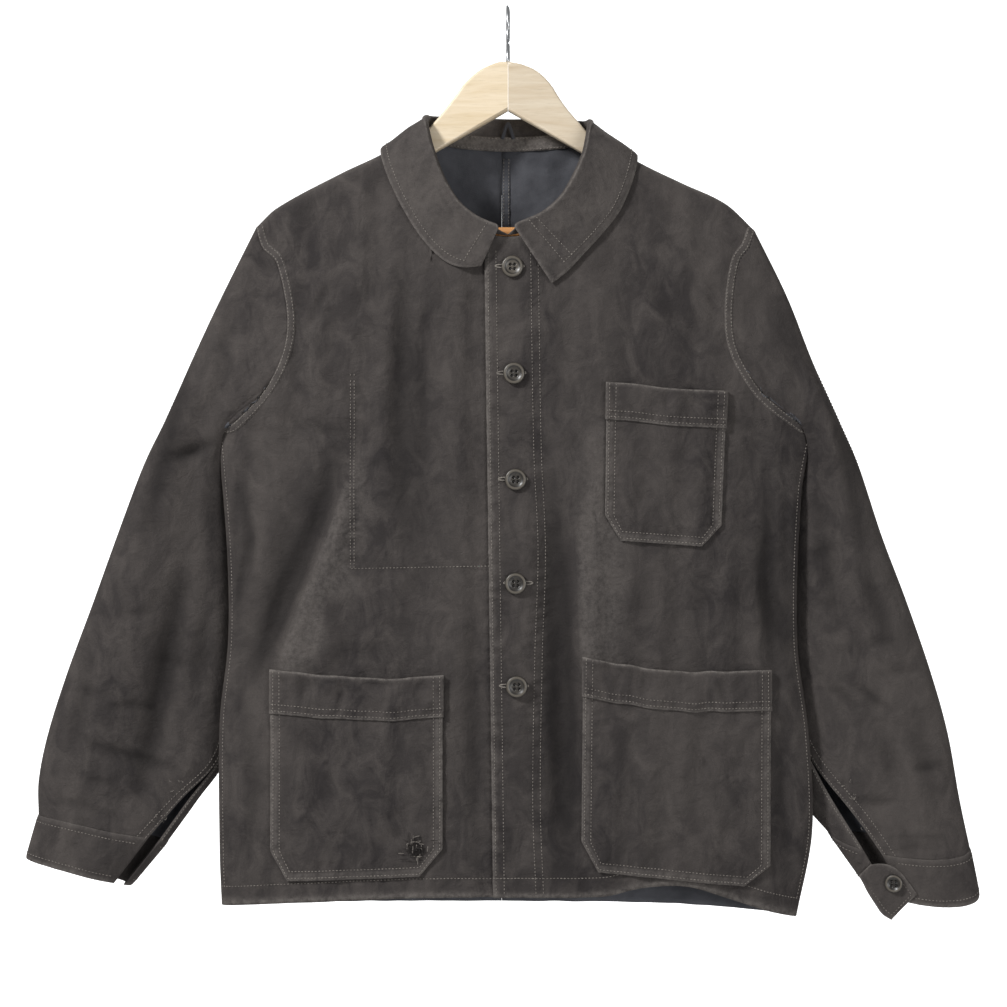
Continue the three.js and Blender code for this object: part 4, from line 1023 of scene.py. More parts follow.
class Body:
    """The four panels, their seams and hems."""

    def __init__(self, form: BodyForm, finishes: Finishes, stitching: Stitching) -> None:
        """Keeps what the panels need."""
        self.form, self.finishes, self.stitching = form, finishes, stitching
        self.panels = {
            f"{'front' if face is Face.FRONT else 'back'}_{side.name.lower()}": Panel(form, side, face)
            for face in Face for side in Side
        }
        self.pieces: dict[str, bpy.types.Object] = {}

    def wear(self, panel: Panel, u: Array, v: Array) -> Array:
        """How worn the panel is along the hem, the front edge and the neck and on fold ridges, with painted
        shade in the crease and fold troughs.
        """
        hem = np.exp(-((v / 0.006) ** 2))
        edge = np.exp(-((u / 0.012) ** 2)) if panel.face is Face.FRONT else np.zeros(u.shape)
        neck = np.exp(-(((1 - v) / 0.01) ** 2))
        at = panel.seen(u, v)
        sink = sunk(self.form.creases[panel.face], at[..., 0], at[..., 1])
        sink = sink + self.form.fold_depth(at[..., 0], at[..., 1], panel.face) * 0.8
        # Crease and fold troughs give values below 0: painted shade that darkens them; ridges come out paler
        # as wear.
        return np.clip(hem + edge + neck * 0.5, 0, 1) * 0.8 - np.clip(sink / 6.5, -0.3, 0.85)

    def band_strip(self, panel: Panel, inner: Array, outer: Array, out: float) -> tuple:
        """Flat felled seam between two lines of places on a panel.

        Args:
            panel: The panel it lies on.
            inner: Places of one edge.
            outer: Places of the other edge.
            out: How far it stands out.

        Returns:
            Its outer and inner grids.
        """
        share = np.array([0.0, 0.18, 0.5, 0.82, 1.0])[:, None, None]
        at = lerp(inner[None], outer[None], share)
        crown = np.array([0.15, 0.85, 1.0, 0.85, 0.15])[:, None] * out
        x, z = at[..., 0], at[..., 1]
        deep = np.maximum(panel.form.depth(x, z, panel.face), SEAM / 2)
        tops = np.stack([x, panel.face * (deep + crown), z], -1)
        under = np.stack([x, panel.face * np.maximum(deep - 0.4, SEAM / 2), z], -1)
        return tops, under

    def build(self) -> None:
        """Builds the panels with their felled seams and stitched edges."""
        for name, panel in self.panels.items():
            front = panel.face is Face.FRONT
            pitch = 1.0 if front else 0.66
            u = shares((0, panel.neck_share, int(38 * pitch)), (panel.neck_share, 0.94, int(48 * pitch)),
                       (0.94, 1, 12))
            v = shares((0, 0.5, int(130 * pitch)), (0.5, 0.96, int(72 * pitch)), (0.96, 1, 14))
            u, v = np.meshgrid(u, v)
            outer = panel.points(u, v)
            normals = grid_normals(outer)
            normals *= np.sign((normals[..., 1] * panel.face).mean())
            inner = outer - normals * CLOTH
            inner[..., 1] = panel.face * np.maximum(panel.face * inner[..., 1], SEAM / 2)
            made = shell(f"{name}_cloth", outer, inner, [self.finishes.moleskin, self.finishes.reverse],
                         self.wear(panel, u, v))
            place_piece(made, (name,))
            self.pieces[name] = made
            self.sew(panel)
        self.fell()
        self.fell_back()

    def sew(self, panel: Panel) -> None:
        """Stitch rows of one panel: hem, front edge and side."""
        row, lift = self.stitching.row, 0.2
        across = np.linspace(0.004, 0.996, 160)
        at = panel.seen(across, np.zeros(160))
        row(panel.form.place(at[:, 0], at[:, 1] + HEM_ROW, panel.face, lift))
        if panel.face is Face.FRONT and panel.side is Side.LEFT:
            z = np.linspace(-184, -782, 240)
            for inset in LAP_ROWS:
                row(panel.form.place(panel.lap_edge(z) + inset, z, panel.face, lift))
            line = np.array([(-180, 0), (-370, 3), (-465, 7), (-560, 4), (-700, 2), (-784, 5)], float)[::-1]
            bend = read_row(line, z)[:, 1]
            for inset in BAND_ROWS:
                row(panel.form.place(inset + bend, z, panel.face, lift))
        if panel.face is Face.FRONT and panel.side is Side.RIGHT:
            z = np.linspace(-299, -479, 110)
            for x in INNER_POCKET_ROWS:
                row(panel.form.place(np.full(110, x), z, panel.face, lift))
            x = np.linspace(-146, -18, 80)
            row(panel.form.place(x, -479 + 0.02 * (x + 80), panel.face, lift))
        v = np.linspace(0.02, 0.495, 200)
        for u in (0.972, 0.945) if panel.face is Face.BACK else (0.985,):
            row(panel.points(np.full(200, u), v, lift))
        if panel.face is Face.BACK:
            across = np.linspace(panel.neck_share + 0.02, 0.97, 80)
            for v in (0.985, 0.972):
                row(panel.points(across, np.full(80, v), lift))

    def fell(self) -> None:
        """Felled bands and double stitching round the armholes."""
        grids = []
        for panel in self.panels.values():
            share = np.linspace(0.035, 0.995, 110)
            edge = along_rows(self.form.armholes[panel.side], share)
            ahead = along_rows(self.form.armholes[panel.side], np.clip(share + 0.01, 0, 1))
            behind = along_rows(self.form.armholes[panel.side], np.clip(share - 0.01, 0, 1))
            way = unit(ahead - behind)
            inward = np.stack([-way[:, 1], way[:, 0]], -1) * panel.side
            slim = smooth(share, 0.0, 0.1)[:, None]
            grids.append((panel, self.band_strip(panel, edge + inward * 0.3, edge + inward * 7.6 * slim,
                                                 0.9)))
            for inset in (1.4, 6.2):
                at = edge + inward * inset * slim
                self.stitching.row(self.form.place(at[:, 0], at[:, 1], panel.face, 1.0))
        for panel, (tops, under) in grids:
            name = f"armhole_band_{panel.face.name.lower()}_{panel.side.name.lower()}"
            wear = np.broadcast_to(np.array([0.7, 0.25, 0.1, 0.25, 0.7])[:, None], tops.shape[:2])
            made = shell(name, tops, under, [self.finishes.moleskin], wear)
            place_piece(made)
            under = self.pieces[f"{panel.face.name.lower()}_{panel.side.name.lower()}"]

    def fell_back(self) -> None:
        """Felled centre back seam, outside and inside."""
        z = np.linspace(-798, -88, 260)
        panel = self.panels["back_left"]
        for name, depth_in in (("back_seam_band", 0.0), ("back_seam_inside", 1.0)):
            share = np.array([0.0, 0.18, 0.5, 0.82, 1.0])[:, None]
            x = panel.back_seam + lerp(0.4, 8.4, share) + 0 * z
            high = np.array([0.1, 0.8, 0.9, 0.8, 0.1])[:, None]
            deep = self.form.depth(x, z + 0 * x, Face.BACK)
            if depth_in:
                tops = np.stack([x, deep - CLOTH - 0.2 - high, z + 0 * x], -1)
                under = np.stack([x, deep - CLOTH + 0.3 + 0 * x, z + 0 * x], -1)
                paint = [self.finishes.reverse]
            else:
                tops = np.stack([x, deep + high, z + 0 * x], -1)
                under = np.stack([x, deep - 0.4 + 0 * x, z + 0 * x], -1)
                paint = [self.finishes.moleskin]
            made = shell(name, tops, under, paint, np.broadcast_to(0.5 * (1 - high), tops.shape[:2]))
            place_piece(made)
            for inset in (2.0, 6.8):
                line = np.full(len(z), panel.back_seam + inset)
                deep_line = self.form.depth(line, z, Face.BACK)
                y = deep_line - CLOTH - 1.1 if depth_in else deep_line + 0.9
                self.stitching.row(np.stack([line, y, z], -1))


# ---------------------------------------------------------------- sleeves and cuffs


@dataclass
class Sleeve:
    """One sleeve, from the armhole to the cuff's edge, as rings of points."""

    form: BodyForm
    side: Side
    head_blend: float = 0.3
    rear_seam: float = 0.56
    cuff_seam: float = -1.2
    cuff_thick: float = 2.8
    tables: dict = field(default_factory=lambda: {
        Side.RIGHT: np.array([
            [0, -239, -157, -276, -351, 0, 0, 20, 0, 0, 0],
            [1, -273, -225, -278, -352, 1, 5, 24, 0, 0, 0],
            [2, -300, -282, -274, -362, 3, 10, 27, 0, 0, 0],
            [3, -326, -340, -267, -388, 4, 17, 28, 0, 0.01, 0],
            [4, -347, -383, -264, -425, 6, 22, 28, 0, 0.02, 0],
            [5, -371, -446, -261, -490, 7, 25, 27, 0, 0.04, 0],
            [6, -396, -515, -260, -555, 8, 26, 27, 0, 0.06, 0],
            [7, -420, -580, -262, -615, 8, 26, 26, 0, 0.08, 0],
            [8, -438, -637, -271, -665, 7, 24, 24, 0, 0.12, 0],
            [9, -447, -682, -297, -703, 6, 18, 21, 0, 0.17, 4],
            [10, -447, -716, -325, -742, 5, 12, 17, 0, 0.2, 6]], float),
        Side.LEFT: np.array([
            [0, 234, -160, 290, -350, 0, 0, 20, 0, 0, 0],
            [1, 265, -223, 291, -351, 1, 5, 24, 0, 0, 0],
            [2, 289, -283, 287, -361, 3, 10, 27, 0, 0, 0],
            [3, 315, -341, 280, -388, 4, 17, 28, 0, 0.01, 0],
            [4, 334, -384, 275, -425, 6, 22, 28, 0, 0.02, 0],
            [5, 356, -450, 272, -490, 7, 25, 27, 0, 0.04, 0],
            [6, 380, -513, 269, -555, 8, 26, 27, 0, 0.06, 0],
            [7, 403, -580, 271, -615, 8, 27, 26, 0, 0.09, 0],
            [8, 419, -638, 275, -660, 7, 26, 24, 0, 0.18, 0],
            [9, 430, -700, 284, -705, 6, 22, 21, 6, 0.32, 4],
            [10, 440, -748, 306, -732, 5, 16, 17, 16, 0.37, 6]], float),
    })
    troughs: dict = field(default_factory=lambda: {
        (Side.RIGHT, Face.FRONT): ((0.12, 0.62, 0.55, 0.42, 7, 0.13), (0.5, 0.95, 0.5, 0.36, 8, 0.12)),
        (Side.RIGHT, Face.BACK): ((0.2, 0.9, 0.5, 0.4, 6, 0.14),),
        (Side.LEFT, Face.FRONT): ((0.14, 0.55, 0.5, 0.4, 5, 0.13), (0.62, 0.98, 0.62, 0.5, 4, 0.14)),
        (Side.LEFT, Face.BACK): ((0.2, 0.9, 0.5, 0.4, 6, 0.14),),
    })
    cuff_run: dict = field(default_factory=lambda: {
        Side.RIGHT: (-12.0, -42.0, -36.0, -43.0), Side.LEFT: (9.0, -45.0, 33.0, -46.0)})
    creases: dict = field(default_factory=lambda: {
        Side.RIGHT: (
            Crease(((-274, -360), (-297, -371), (-325, -379)), 3, 6),
            Crease(((-297, -248), (-316, -341), (-334, -416), (-344, -477)), 3, 10),
            Crease(((-304, -472), (-320, -547), (-336, -631), (-351, -710)), 4, 10),
            Crease(((-383, -613), (-358, -611), (-332, -615)), 1.8, 4),
            Crease(((-415, -632), (-388, -650), (-346, -664), (-306, -675)), 2.4, 5),
            Crease(((-409, -593), (-388, -601), (-370, -603)), 1.3, 4),
            Crease(((-418, -670), (-396, -681), (-370, -687)), 1.3, 4),
            Crease(((-334, -565), (-314, -571), (-295, -573)), 1.3, 4),
            Crease(((-370, -530), (-347, -523), (-323, -521)), 1.3, 5),
            Crease(((-258, -229), (-269, -276), (-267, -323)), 1.4, 8),
            Crease(((-280, -388), (-282, -435), (-276, -472)), 1.6, 8),
            Crease(((-396, -547), (-401, -603), (-416, -659)), 1.8, 8),
            Crease(((-284, -509), (-291, -565), (-301, -618)), 2, 8),
            Crease(((-438, -700), (-400, -706), (-360, -722)), 1.4, 5),
            Pucker(((-283, -560), (-285, -640), (-302, -690)), 0.9, 8, 10.0, 71),
        ),
        Side.LEFT: (
            Crease(((338, -549), (353, -550), (367, -547)), 1.8, 4),
            Crease(((351, -578), (371, -578), (394, -574)), 1.8, 4),
            Crease(((324, -698), (347, -701), (373, -698)), 1.8, 4),
            Crease(((381, -671), (399, -669), (416, -664)), 1.8, 4),
            Crease(((344, -736), (384, -734), (427, -735)), 1.2, 3),
            Crease(((300, -593), (317, -601), (334, -614)), 1.8, 4),
            Crease(((319, -588), (343, -601), (366, -618)), 1.8, 4),
            Crease(((306, -257), (319, -351), (334, -435), (347, -509)), 2.5, 9),
            Crease(((292, -397), (299, -472), (315, -547)), 2.2, 8),
            Crease(((330, -472), (351, -519), (370, -565)), 2.2, 8),
            Crease(((286, -472), (304, -463), (319, -461)), 1.5, 5),
            Crease(((284, -509), (300, -515), (315, -513)), 1.3, 5),
            Crease(((258, -229), (267, -276), (274, -323)), 1.2, 8),
            Crease(((384, -603), (394, -659), (407, -715)), 1.8, 8),
            Crease(((347, -622), (362, -659), (368, -696)), 1.6, 7),
            Pucker(((280, -560), (284, -635), (325, -700)), 1.1, 8, 9.0, 72),
            Pucker(((340, -748), (440, -742)), 0.7, 7, 12.0, 73),
        ),
    })

    def row(self, along: Array) -> Array:
        """The table's row at shares of the length."""
        table = self.tables[self.side]
        return read_row(table, np.asarray(along, float) * (len(table) - 1))

    def points(self, turn: Array, along: Array) -> Array:
        """Outer points, by the place round the sleeve and the share of its length."""
        turn, along = np.broadcast_arrays(np.asarray(turn, float), np.asarray(along, float))
        turn = turn % 1.0
        front = turn <= 0.5
        sign = np.where(front, Face.FRONT, Face.BACK)
        w = np.where(front, turn * 2, (1 - turn) * 2)
        row = self.row(along)
        out_x, out_z, in_x, in_z, out_y, in_y, deep, drop = np.moveaxis(row[..., 1:9], -1, 0)
        head = self.tables[self.side][0]
        swing = (1 - np.cos(math.pi * w)) / 2
        arm = along_rows(self.form.armholes[self.side], w)
        blend = smooth(along, 0, self.head_blend)
        x = lerp(in_x, out_x, swing) + (1 - blend) * (arm[..., 0] - lerp(head[3], head[1], swing))
        z = lerp(in_z, out_z, swing) + (1 - blend) * (arm[..., 1] - lerp(head[4], head[2], swing))
        bulge = np.sin(math.pi * w)
        at_arm = np.where(front, self.form.depth(arm[..., 0], arm[..., 1], Face.FRONT),
                          self.form.depth(arm[..., 0], arm[..., 1], Face.BACK))
        thick = lerp(np.maximum(at_arm, SEAM / 2), deep * bulge, blend)
        sink = np.zeros(w.shape)
        for face in Face:
            for start, end, first, last, fold, wide in self.troughs[(self.side, face)]:
                run = (along - start) / (end - start)
                off = (w - lerp(first, last, run)) / wide
                hit = (run > 0) & (run < 1) & (sign == face)
                trough = fold * np.sin(math.pi * np.clip(run, 0, 1)) * np.exp(-(off**2)) * bulge
                sink += np.where(hit, trough, 0)
        fine = np.where(front, sunk(self.creases[self.side], x, z),
                        0.8 * sunk(self.creases[self.side], x - self.side * 8, z + 14))
        fine = fine + 1.0 * uneven(x * 1.3, z + sign * 300, 58, 21 + self.side) + 0.35 * uneven(x, z, 22, 4)
        y = sign * (thick - sink - fine * bulge * smooth(along, 0, 0.05)) + blend * lerp(in_y, out_y, swing)
        return np.stack([x, y, z - np.where(front, drop * bulge, 0)], -1)

    def rounds(self, start: float, stops: Array, along: Array) -> tuple[Array, Array]:
        """Places round the sleeve of one piece's points.

        Args:
            start: First share of the ring, 0 for the top sleeve.
            stops: Shares across the piece.
            along: Shares of the length.

        Returns:
            Grids of the place round and along.
        """
        stops, along = np.meshgrid(stops, along)
        row = self.row(along)
        ring = 2 * np.hypot(row[..., 1] - row[..., 3], row[..., 2] - row[..., 4])
        shut = SEAM / 2 / ring
        gap = shut + np.maximum(row[..., 10], 0) / ring
        low = row[..., 9] / 2 + gap if start == 0 else self.rear_seam + shut
        high = self.rear_seam - shut if start == 0 else 1 + row[..., 9] / 2 - gap
        return lerp(low, high, stops), along

    def walls(self, turn: Array, along: Array, thick: float) -> tuple[Array, Array]:
        """Outer and inner points of the sleeve's wall."""
        near = 0.0015
        outer = self.points(turn, along)
        over = self.points(turn + near, along) - self.points(turn - near, along)
        down = self.points(turn, np.clip(along + near, 0, 1)) - self.points(turn, np.clip(along - near, 0, 1))
        normal = unit(np.cross(over, down))
        probe = self.points(np.array([0.24, 0.26]), np.array([0.5, 0.5]))
        under = self.points(np.array([0.25]), np.array([0.51]))[0]
        facing = np.cross(probe[1] - probe[0], under - probe.mean(0))[1]
        normal *= -np.sign(facing)
        normal = np.where(np.abs(normal).sum(-1, keepdims=True) > 0, normal, 0)
        return outer, outer - normal * thick

    def cuff_points(self, turn: Array, down: Array) -> Array:
        """Outer points of the cuff, from its seam (0) to its edge (1)."""
        turn, down = np.broadcast_arrays(np.asarray(turn, float), np.asarray(down, float))
        place = turn % 1.0
        w = np.where(place <= 0.5, place * 2, (1 - place) * 2)
        swing = (1 - np.cos(math.pi * w)) / 2
        out_x, out_z, in_x, in_z = self.cuff_run[self.side]
        way = np.stack([lerp(in_x, out_x, swing), 0 * swing, lerp(in_z, out_z, swing)], -1)
        start = self.points(turn, np.ones(turn.shape))
        share = down + self.cuff_seam / np.linalg.norm(way, axis=-1)
        wave = 0.5 * np.sin(math.pi * np.clip(down, 0, 1)) * uneven(turn * 300, down * 40, 60, 9)
        start = start + way * share[..., None]
        start[..., 1] += wave
        return start


class Sleeves:
    """Both sleeves with their cuffs and the buttoned tab."""

    def __init__(self, form: BodyForm, finishes: Finishes, stitching: Stitching) -> None:
        """Keeps what the sleeves need."""
        self.form, self.finishes, self.stitching = form, finishes, stitching
        self.tab = np.array([(344, -762, 333, -773), (352, -761, 337, -780), (361, -762, 341, -788),
                             (371, -768, 348, -799), (380, -779, 355, -809), (387, -789, 364, -815)], float)
        self.tab_clear, self.tab_level = 0.9, 0.28

    def build(self) -> None:
        """Builds both sleeves."""
        for side in Side:
            self.build_side(Sleeve(self.form, side), side.name.lower())
        self.build_tab()

    def build_side(self, sleeve: Sleeve, label: str) -> None:
        """Builds one sleeve's two pieces and its cuff."""
        along = shares((0, 0.1, 22), (0.1, 1, 150))
        pieces = {}
        halves = (("top_sleeve", 0.0, 92), ("under_sleeve", sleeve.rear_seam, 60))
        for name, start, count in halves:
            turn, run = sleeve.rounds(start, np.linspace(0, 1, count + 1), along)
            outer, inner = sleeve.walls(turn, run, CLOTH)
            seam = np.minimum(np.arange(count + 1), count - np.arange(count + 1))
            sink = sunk(sleeve.creases[sleeve.side], outer[..., 0], outer[..., 2])
            if start > 0:
                sink = sunk(sleeve.creases[sleeve.side], outer[..., 0] - sleeve.side * 8, outer[..., 2] + 14)
            # Paler along the seams and on ridges as wear; crease troughs get values below 0, painted shade
            # that darkens them.
            wear = np.exp(-(seam / 1.2) ** 2) * 0.5 - np.clip(sink / 6.5, -0.3, 0.85)
            made = shell(f"{name}_{label}_cloth", outer, inner,
                         [self.finishes.moleskin, self.finishes.reverse], wear)
            place_piece(made, (f"{name}_{label}",))
            pieces[name] = made
        self.seam_rows(sleeve)
        self.build_cuff(sleeve, label)

    def lifted(self, sleeve: Sleeve, turn: Array, along: Array, out: float) -> Array:
        """Points on the sleeve, moved out by a distance."""
        outer, inner = sleeve.walls(turn, along, 1.0)
        return outer + (outer - inner) * out

    def seam_rows(self, sleeve: Sleeve) -> None:
        """Stitch rows beside the inner and the rear seam and below the armhole."""
        along = np.linspace(0.06, 0.995, 220)
        row = sleeve.row(along)
        ring = 2 * np.hypot(row[:, 1] - row[:, 3], row[:, 2] - row[:, 4])
        inner = row[:, 9] / 2 + (SEAM / 2 + np.maximum(row[:, 10], 0)) / ring
        for inset in INNER_SEAM_ROWS:
            self.stitching.row(self.lifted(sleeve, inner + inset / ring, along, 0.2))
        for inset in REAR_SEAM_ROWS:
            self.stitching.row(self.lifted(sleeve, sleeve.rear_seam - inset / ring, along, 0.2))
        fold = along > 0.8
        outer = row[:, 9] / 2 - (VENT_ROW + np.maximum(row[:, 10], 0)) / ring + 1
        self.stitching.row(self.lifted(sleeve, outer[fold], along[fold], 0.2))

    def build_cuff(self, sleeve: Sleeve, label: str) -> None:
        """Builds a cuff of doubled cloth with its rows of stitches."""
        end = sleeve.row(np.array(1.0))
        ring = 2 * math.hypot(end[1] - end[3], end[2] - end[4])
        gap = (SEAM / 2 + end[10]) / ring
        turn = np.linspace(end[9] / 2 + gap, 1 + end[9] / 2 - gap, 150)
        down = np.array([0, 0.03, 0.1, 0.2, 0.3, 0.4, 0.5, 0.6, 0.7, 0.8, 0.9, 0.97, 1.0])
        turn, down = np.meshgrid(turn, down)
        outer = sleeve.cuff_points(turn, down)
        ends, starts = sleeve.walls(turn, np.ones(turn.shape), 1.0)
        outward = ends - starts
        full = np.sqrt(np.clip(1 - (2 * down - 1) ** 8, 0, 1))[..., None]
        outer = outer + outward * 0.9 * full
        inner = outer - outward * (sleeve.cuff_thick * (0.35 + 0.65 * full) + 0.9 * full)
        wear = np.clip(np.exp(-((1 - down) / 0.05) ** 2) + 0.4 * np.exp(-(down / 0.04) ** 2), 0, 1) * 0.85
        made = shell(f"cuff_{label}_cloth", outer, inner, [self.finishes.moleskin], wear)
        place_piece(made, (f"cuff_{label}",))
        places = np.linspace(end[9] / 2 + gap + 0.03, 1 + end[9] / 2 - gap - 0.03, 150)
        side_out, side_in = sleeve.walls(places, np.ones(150), 1.0)
        for share in (0.14, 0.86):
            line = sleeve.cuff_points(places, np.full(150, share)) + (side_out - side_in) * 1.05
            self.stitching.row(line)

    def on_cuff(self, x: Array, z: Array, out: float) -> Array:
        """Points on the front of the left cuff, moved out by a distance."""
        sleeve = Sleeve(self.form, Side.LEFT)
        w = np.linspace(self.tab_level, 1, 60)
        down = np.linspace(-0.5, 1.6, 40)
        grid = sleeve.cuff_points(*np.meshgrid(w / 2, down))
        found = np.empty(x.shape)
        for k in np.ndindex(x.shape):
            gap = np.hypot((grid[..., 0] - x[k]) * (grid[..., 0] > x[k] - 400), grid[..., 2] - z[k])
            if x[k] < grid[..., 0].min():
                gap = np.abs(grid[..., 2] - z[k]) + grid[..., 0] * 0.5
            near = np.unravel_index(gap.argmin(), gap.shape)
            found[k] = grid[near][1]
        return np.stack([x, found - out, z], -1)

    def build_tab(self) -> None:
        """Builds the tab over the vent, with its stitches."""
        along = np.linspace(0, 1, 34)
        rows = along_rows(self.tab, along)
        across = np.array([0, 0.05, 0.15, 0.3, 0.5, 0.7, 0.85, 0.95, 1.0])
        x = lerp(rows[:, 2][:, None], rows[:, 0][:, None], across)
        z = lerp(rows[:, 3][:, None], rows[:, 1][:, None], across)
        base = self.on_cuff(x, z, 0.0)
        level = np.polynomial.polynomial.polyvander2d(x / 100 - 3.6, z / 100 + 7.9, [2, 2]).reshape(-1, 9)
        fit = level @ np.linalg.lstsq(level, base[..., 1].ravel(), rcond=None)[0]
        base[..., 1] = fit.reshape(x.shape)
        pillow = np.sqrt(np.clip(1 - (2 * across - 1) ** 6, 0, 1)) * np.sqrt(
            np.clip(1 - (2 * along[:, None] - 1) ** 12, 0, 1))
        outer = base - (0, 1, 0) * (self.tab_clear + 1.7 + 1.3 * pillow)[..., None]
        inner = base - (0, 1, 0) * (self.tab_clear + 1.5 - 0.9 * pillow)[..., None]
        wear = np.clip(1.3 - 1.6 * pillow, 0, 1) * 0.9
        made = shell("cuff_tab_cloth", outer, inner, [self.finishes.moleskin], wear)
        place_piece(made, ("cuff_tab",))
        inset = 0.13
        line = [lerp(outer[:, 0], outer[:, -1], share) for share in (inset, 1 - inset)]
        loop = np.concatenate([line[0][2:-2], line[1][2:-2][::-1]])
        self.stitching.row(loop - (0, 0.35, 0))
        spot = np.unravel_index(np.hypot(x - 363, z + 781).argmin(), x.shape)
        self.button_front = outer[spot]


# ---------------------------------------------------------------- collar and neck


@dataclass
class Collar:
    """Turned-down collar: its stand, its fold and its fall, with the neck band and the hanging loop."""

    form: BodyForm
    finishes: Finishes
    stitching: Stitching
    panels: dict
    roll: float = 3.4
    stand: float = 8.0
    back_wide: float = 78.0
    fall_clear: float = 2.0
    stand_clear: float = 2.9
    bow: float = 2.0
    stations: tuple = (
        (-1, -9, -163, -25, -198, 6), (-1, -19, -159, -44, -199, 5), (-1, -31, -153, -62, -191, 6),
        (-1, -46, -140, -82, -170, 7), (-1, -60, -117, -101, -139, 7), (-1, -71, -88, -114, -111, 7),
        (-1, -77, -63, -120, -92, 5), (0, -78, -54, -121, -82, 0), (1, -73, -52, -116, -96, 3),
        (1, -56, -51, -92, -114, 5), (1, -30, -51, -50, -120, 6), (1, 0, -51.5, 0, -121, 6),
        (1, 30, -52, 50, -121, 6), (1, 56, -54, 92, -117, 5), (1, 73, -57, 118, -101, 3),
        (0, 78, -58, 123, -88, 0), (-1, 76, -68, 122, -99, 5), (-1, 71, -92, 116, -120, 7),
        (-1, 60, -117, 105, -145, 7), (-1, 48, -136, 89, -166, 7), (-1, 32, -150, 71, -186, 6),
        (-1, 17, -157, 55, -203, 5), (-1, 6, -162, 41, -214, 6))

    def body_depth(self, x: float, z: float, face: int) -> float:
        """Depth of the body under a point of the collar."""
        return float(self.form.depth(np.array(float(x)), np.array(float(z)), Face(face or -1)))

    def neck_point(self, face: int, fold_x: float, fold_z: float) -> Array:
        """Point of the neckline under a station."""
        side = Side.RIGHT if fold_x < 0 else Side.LEFT
        panel = self.panels[f"{'back' if face == 1 else 'front'}_{side.name.lower()}"]
        top = panel.neck_top[side]
        if face == 0:
            return np.array([side * panel.neck_wide, 0.0, top])
        drop = panel.neck_drop[Face(face)] - top
        if face == Face.FRONT:
            turn = math.acos(min(max((fold_z - self.stand - top) / drop, 0), 1))
        else:
            turn = math.asin(min(abs(fold_x) / self.back_wide, 1))
        x, z = panel.neckline(np.array(turn))
        return np.array([x, face * float(self.form.plain_depth(x, z, Face(face))), z])

    def section(self, station: tuple) -> Array:
        """Points up the stand, over the fold and down the fall at a station."""
        face, fold_x, fold_z, edge_x, edge_z, lift = station
        neck = self.neck_point(face, fold_x, fold_z)
        facing = unit(np.array([fold_x / 110, face, 0]))
        if face == 0:
            facing = np.array([math.copysign(1, fold_x), 0, 0])
        fold = np.array([fold_x, 0 if face == 0 else neck[1] + face * lift, fold_z], float)
        deep = self.body_depth(edge_x, edge_z, face) + self.fall_clear + CLOTH
        edge = np.array([edge_x, face * deep, edge_z], float)
        clear = self.stand_clear * (1 - abs(neck[0]) / 84 / 2)
        foot = neck - facing * CLOTH + (0, 0, clear)
        foot[0] -= self.stand_clear * neck[0] / 84
        leg = fold - facing * self.roll
        points = [foot, lerp(foot, leg, 0.3), lerp(foot, leg, 0.65), leg]
        for turn in (0.2, 0.4, 0.6, 0.8):
            angle = math.pi * turn
            points.append(fold - facing * self.roll * math.cos(angle) + (0, 0, self.roll * math.sin(angle)))
        brow = fold + facing * self.roll
        for share in np.linspace(0, 1, 12):
            point = lerp(brow, edge, share)
            if face != 0:
                under = self.body_depth(point[0], point[2], face) + self.fall_clear + CLOTH
                bowed = under + self.bow * math.sin(math.pi * share)
                point[1] = face * max(face * point[1], bowed)
            points.append(point)
        return np.array(points)

    def build(self) -> None:
        """Builds the collar, its edge stitching, the neck band and the loop."""
        sections = np.array([self.section(station) for station in self.stations])
        along = shares((0, 0.06, 10), (0.06, 0.94, 190), (0.94, 1, 10))
        across = np.linspace(0, 1, 58)
        flat = along_rows(sections.reshape(len(sections), -1), along).reshape(len(along), -1, 3)
        outer = along_rows(flat.transpose(1, 0, 2).reshape(flat.shape[1], -1), across)
        outer = outer.reshape(len(across), len(along), 3)
        normal = unit(np.cross(np.gradient(outer, axis=1), np.gradient(outer, axis=0)))
        run, drop = np.meshgrid(along, across)
        ends = np.minimum(smooth(run, 0, 0.01), smooth(1 - run, 0, 0.01))
        edge = np.minimum(smooth(1 - drop, 0, 0.035), ends)
        ripple = 0.5 * uneven(run * 620, drop * 90, 40, 31)
        ripple = ripple * smooth(drop, 0.4, 0.6) * smooth(1 - drop, 0.0, 0.15)
        outer = outer + normal * (0.9 * edge - 0.6 + ripple)[..., None]
        inner = outer - normal * (1.2 + 1.4 * edge)[..., None]
        wear = np.clip(np.exp(-(((1 - drop) / 0.025) ** 2)) + 0.8 * np.exp(-(((drop - 0.36) / 0.05) ** 2))
                       + np.exp(-((run / 0.006) ** 2)) + np.exp(-(((1 - run) / 0.006) ** 2)), 0.16, 1) * 0.8
        made = shell("collar_cloth", outer, inner, [self.finishes.moleskin], wear)
        place_piece(made, ("collar",))
        lifted = outer + normal * 0.25
        low = int(round(0.905 * (len(across) - 1)))
        left, right = 8, len(along) - 9
        self.stitching.row(lifted[low, left:right])
        for column in (left, right - 1, right - 5):
            self.stitching.row(lifted[24:low + 1, column])
        self.build_band()
        self.build_loop()

    def band_depth(self, x: Array, z: Array) -> Array:
        """Back face of the neck band beside the neckline."""
        return self.form.plain_depth(x, z - 2, Face.BACK) - CLOTH - 1.5

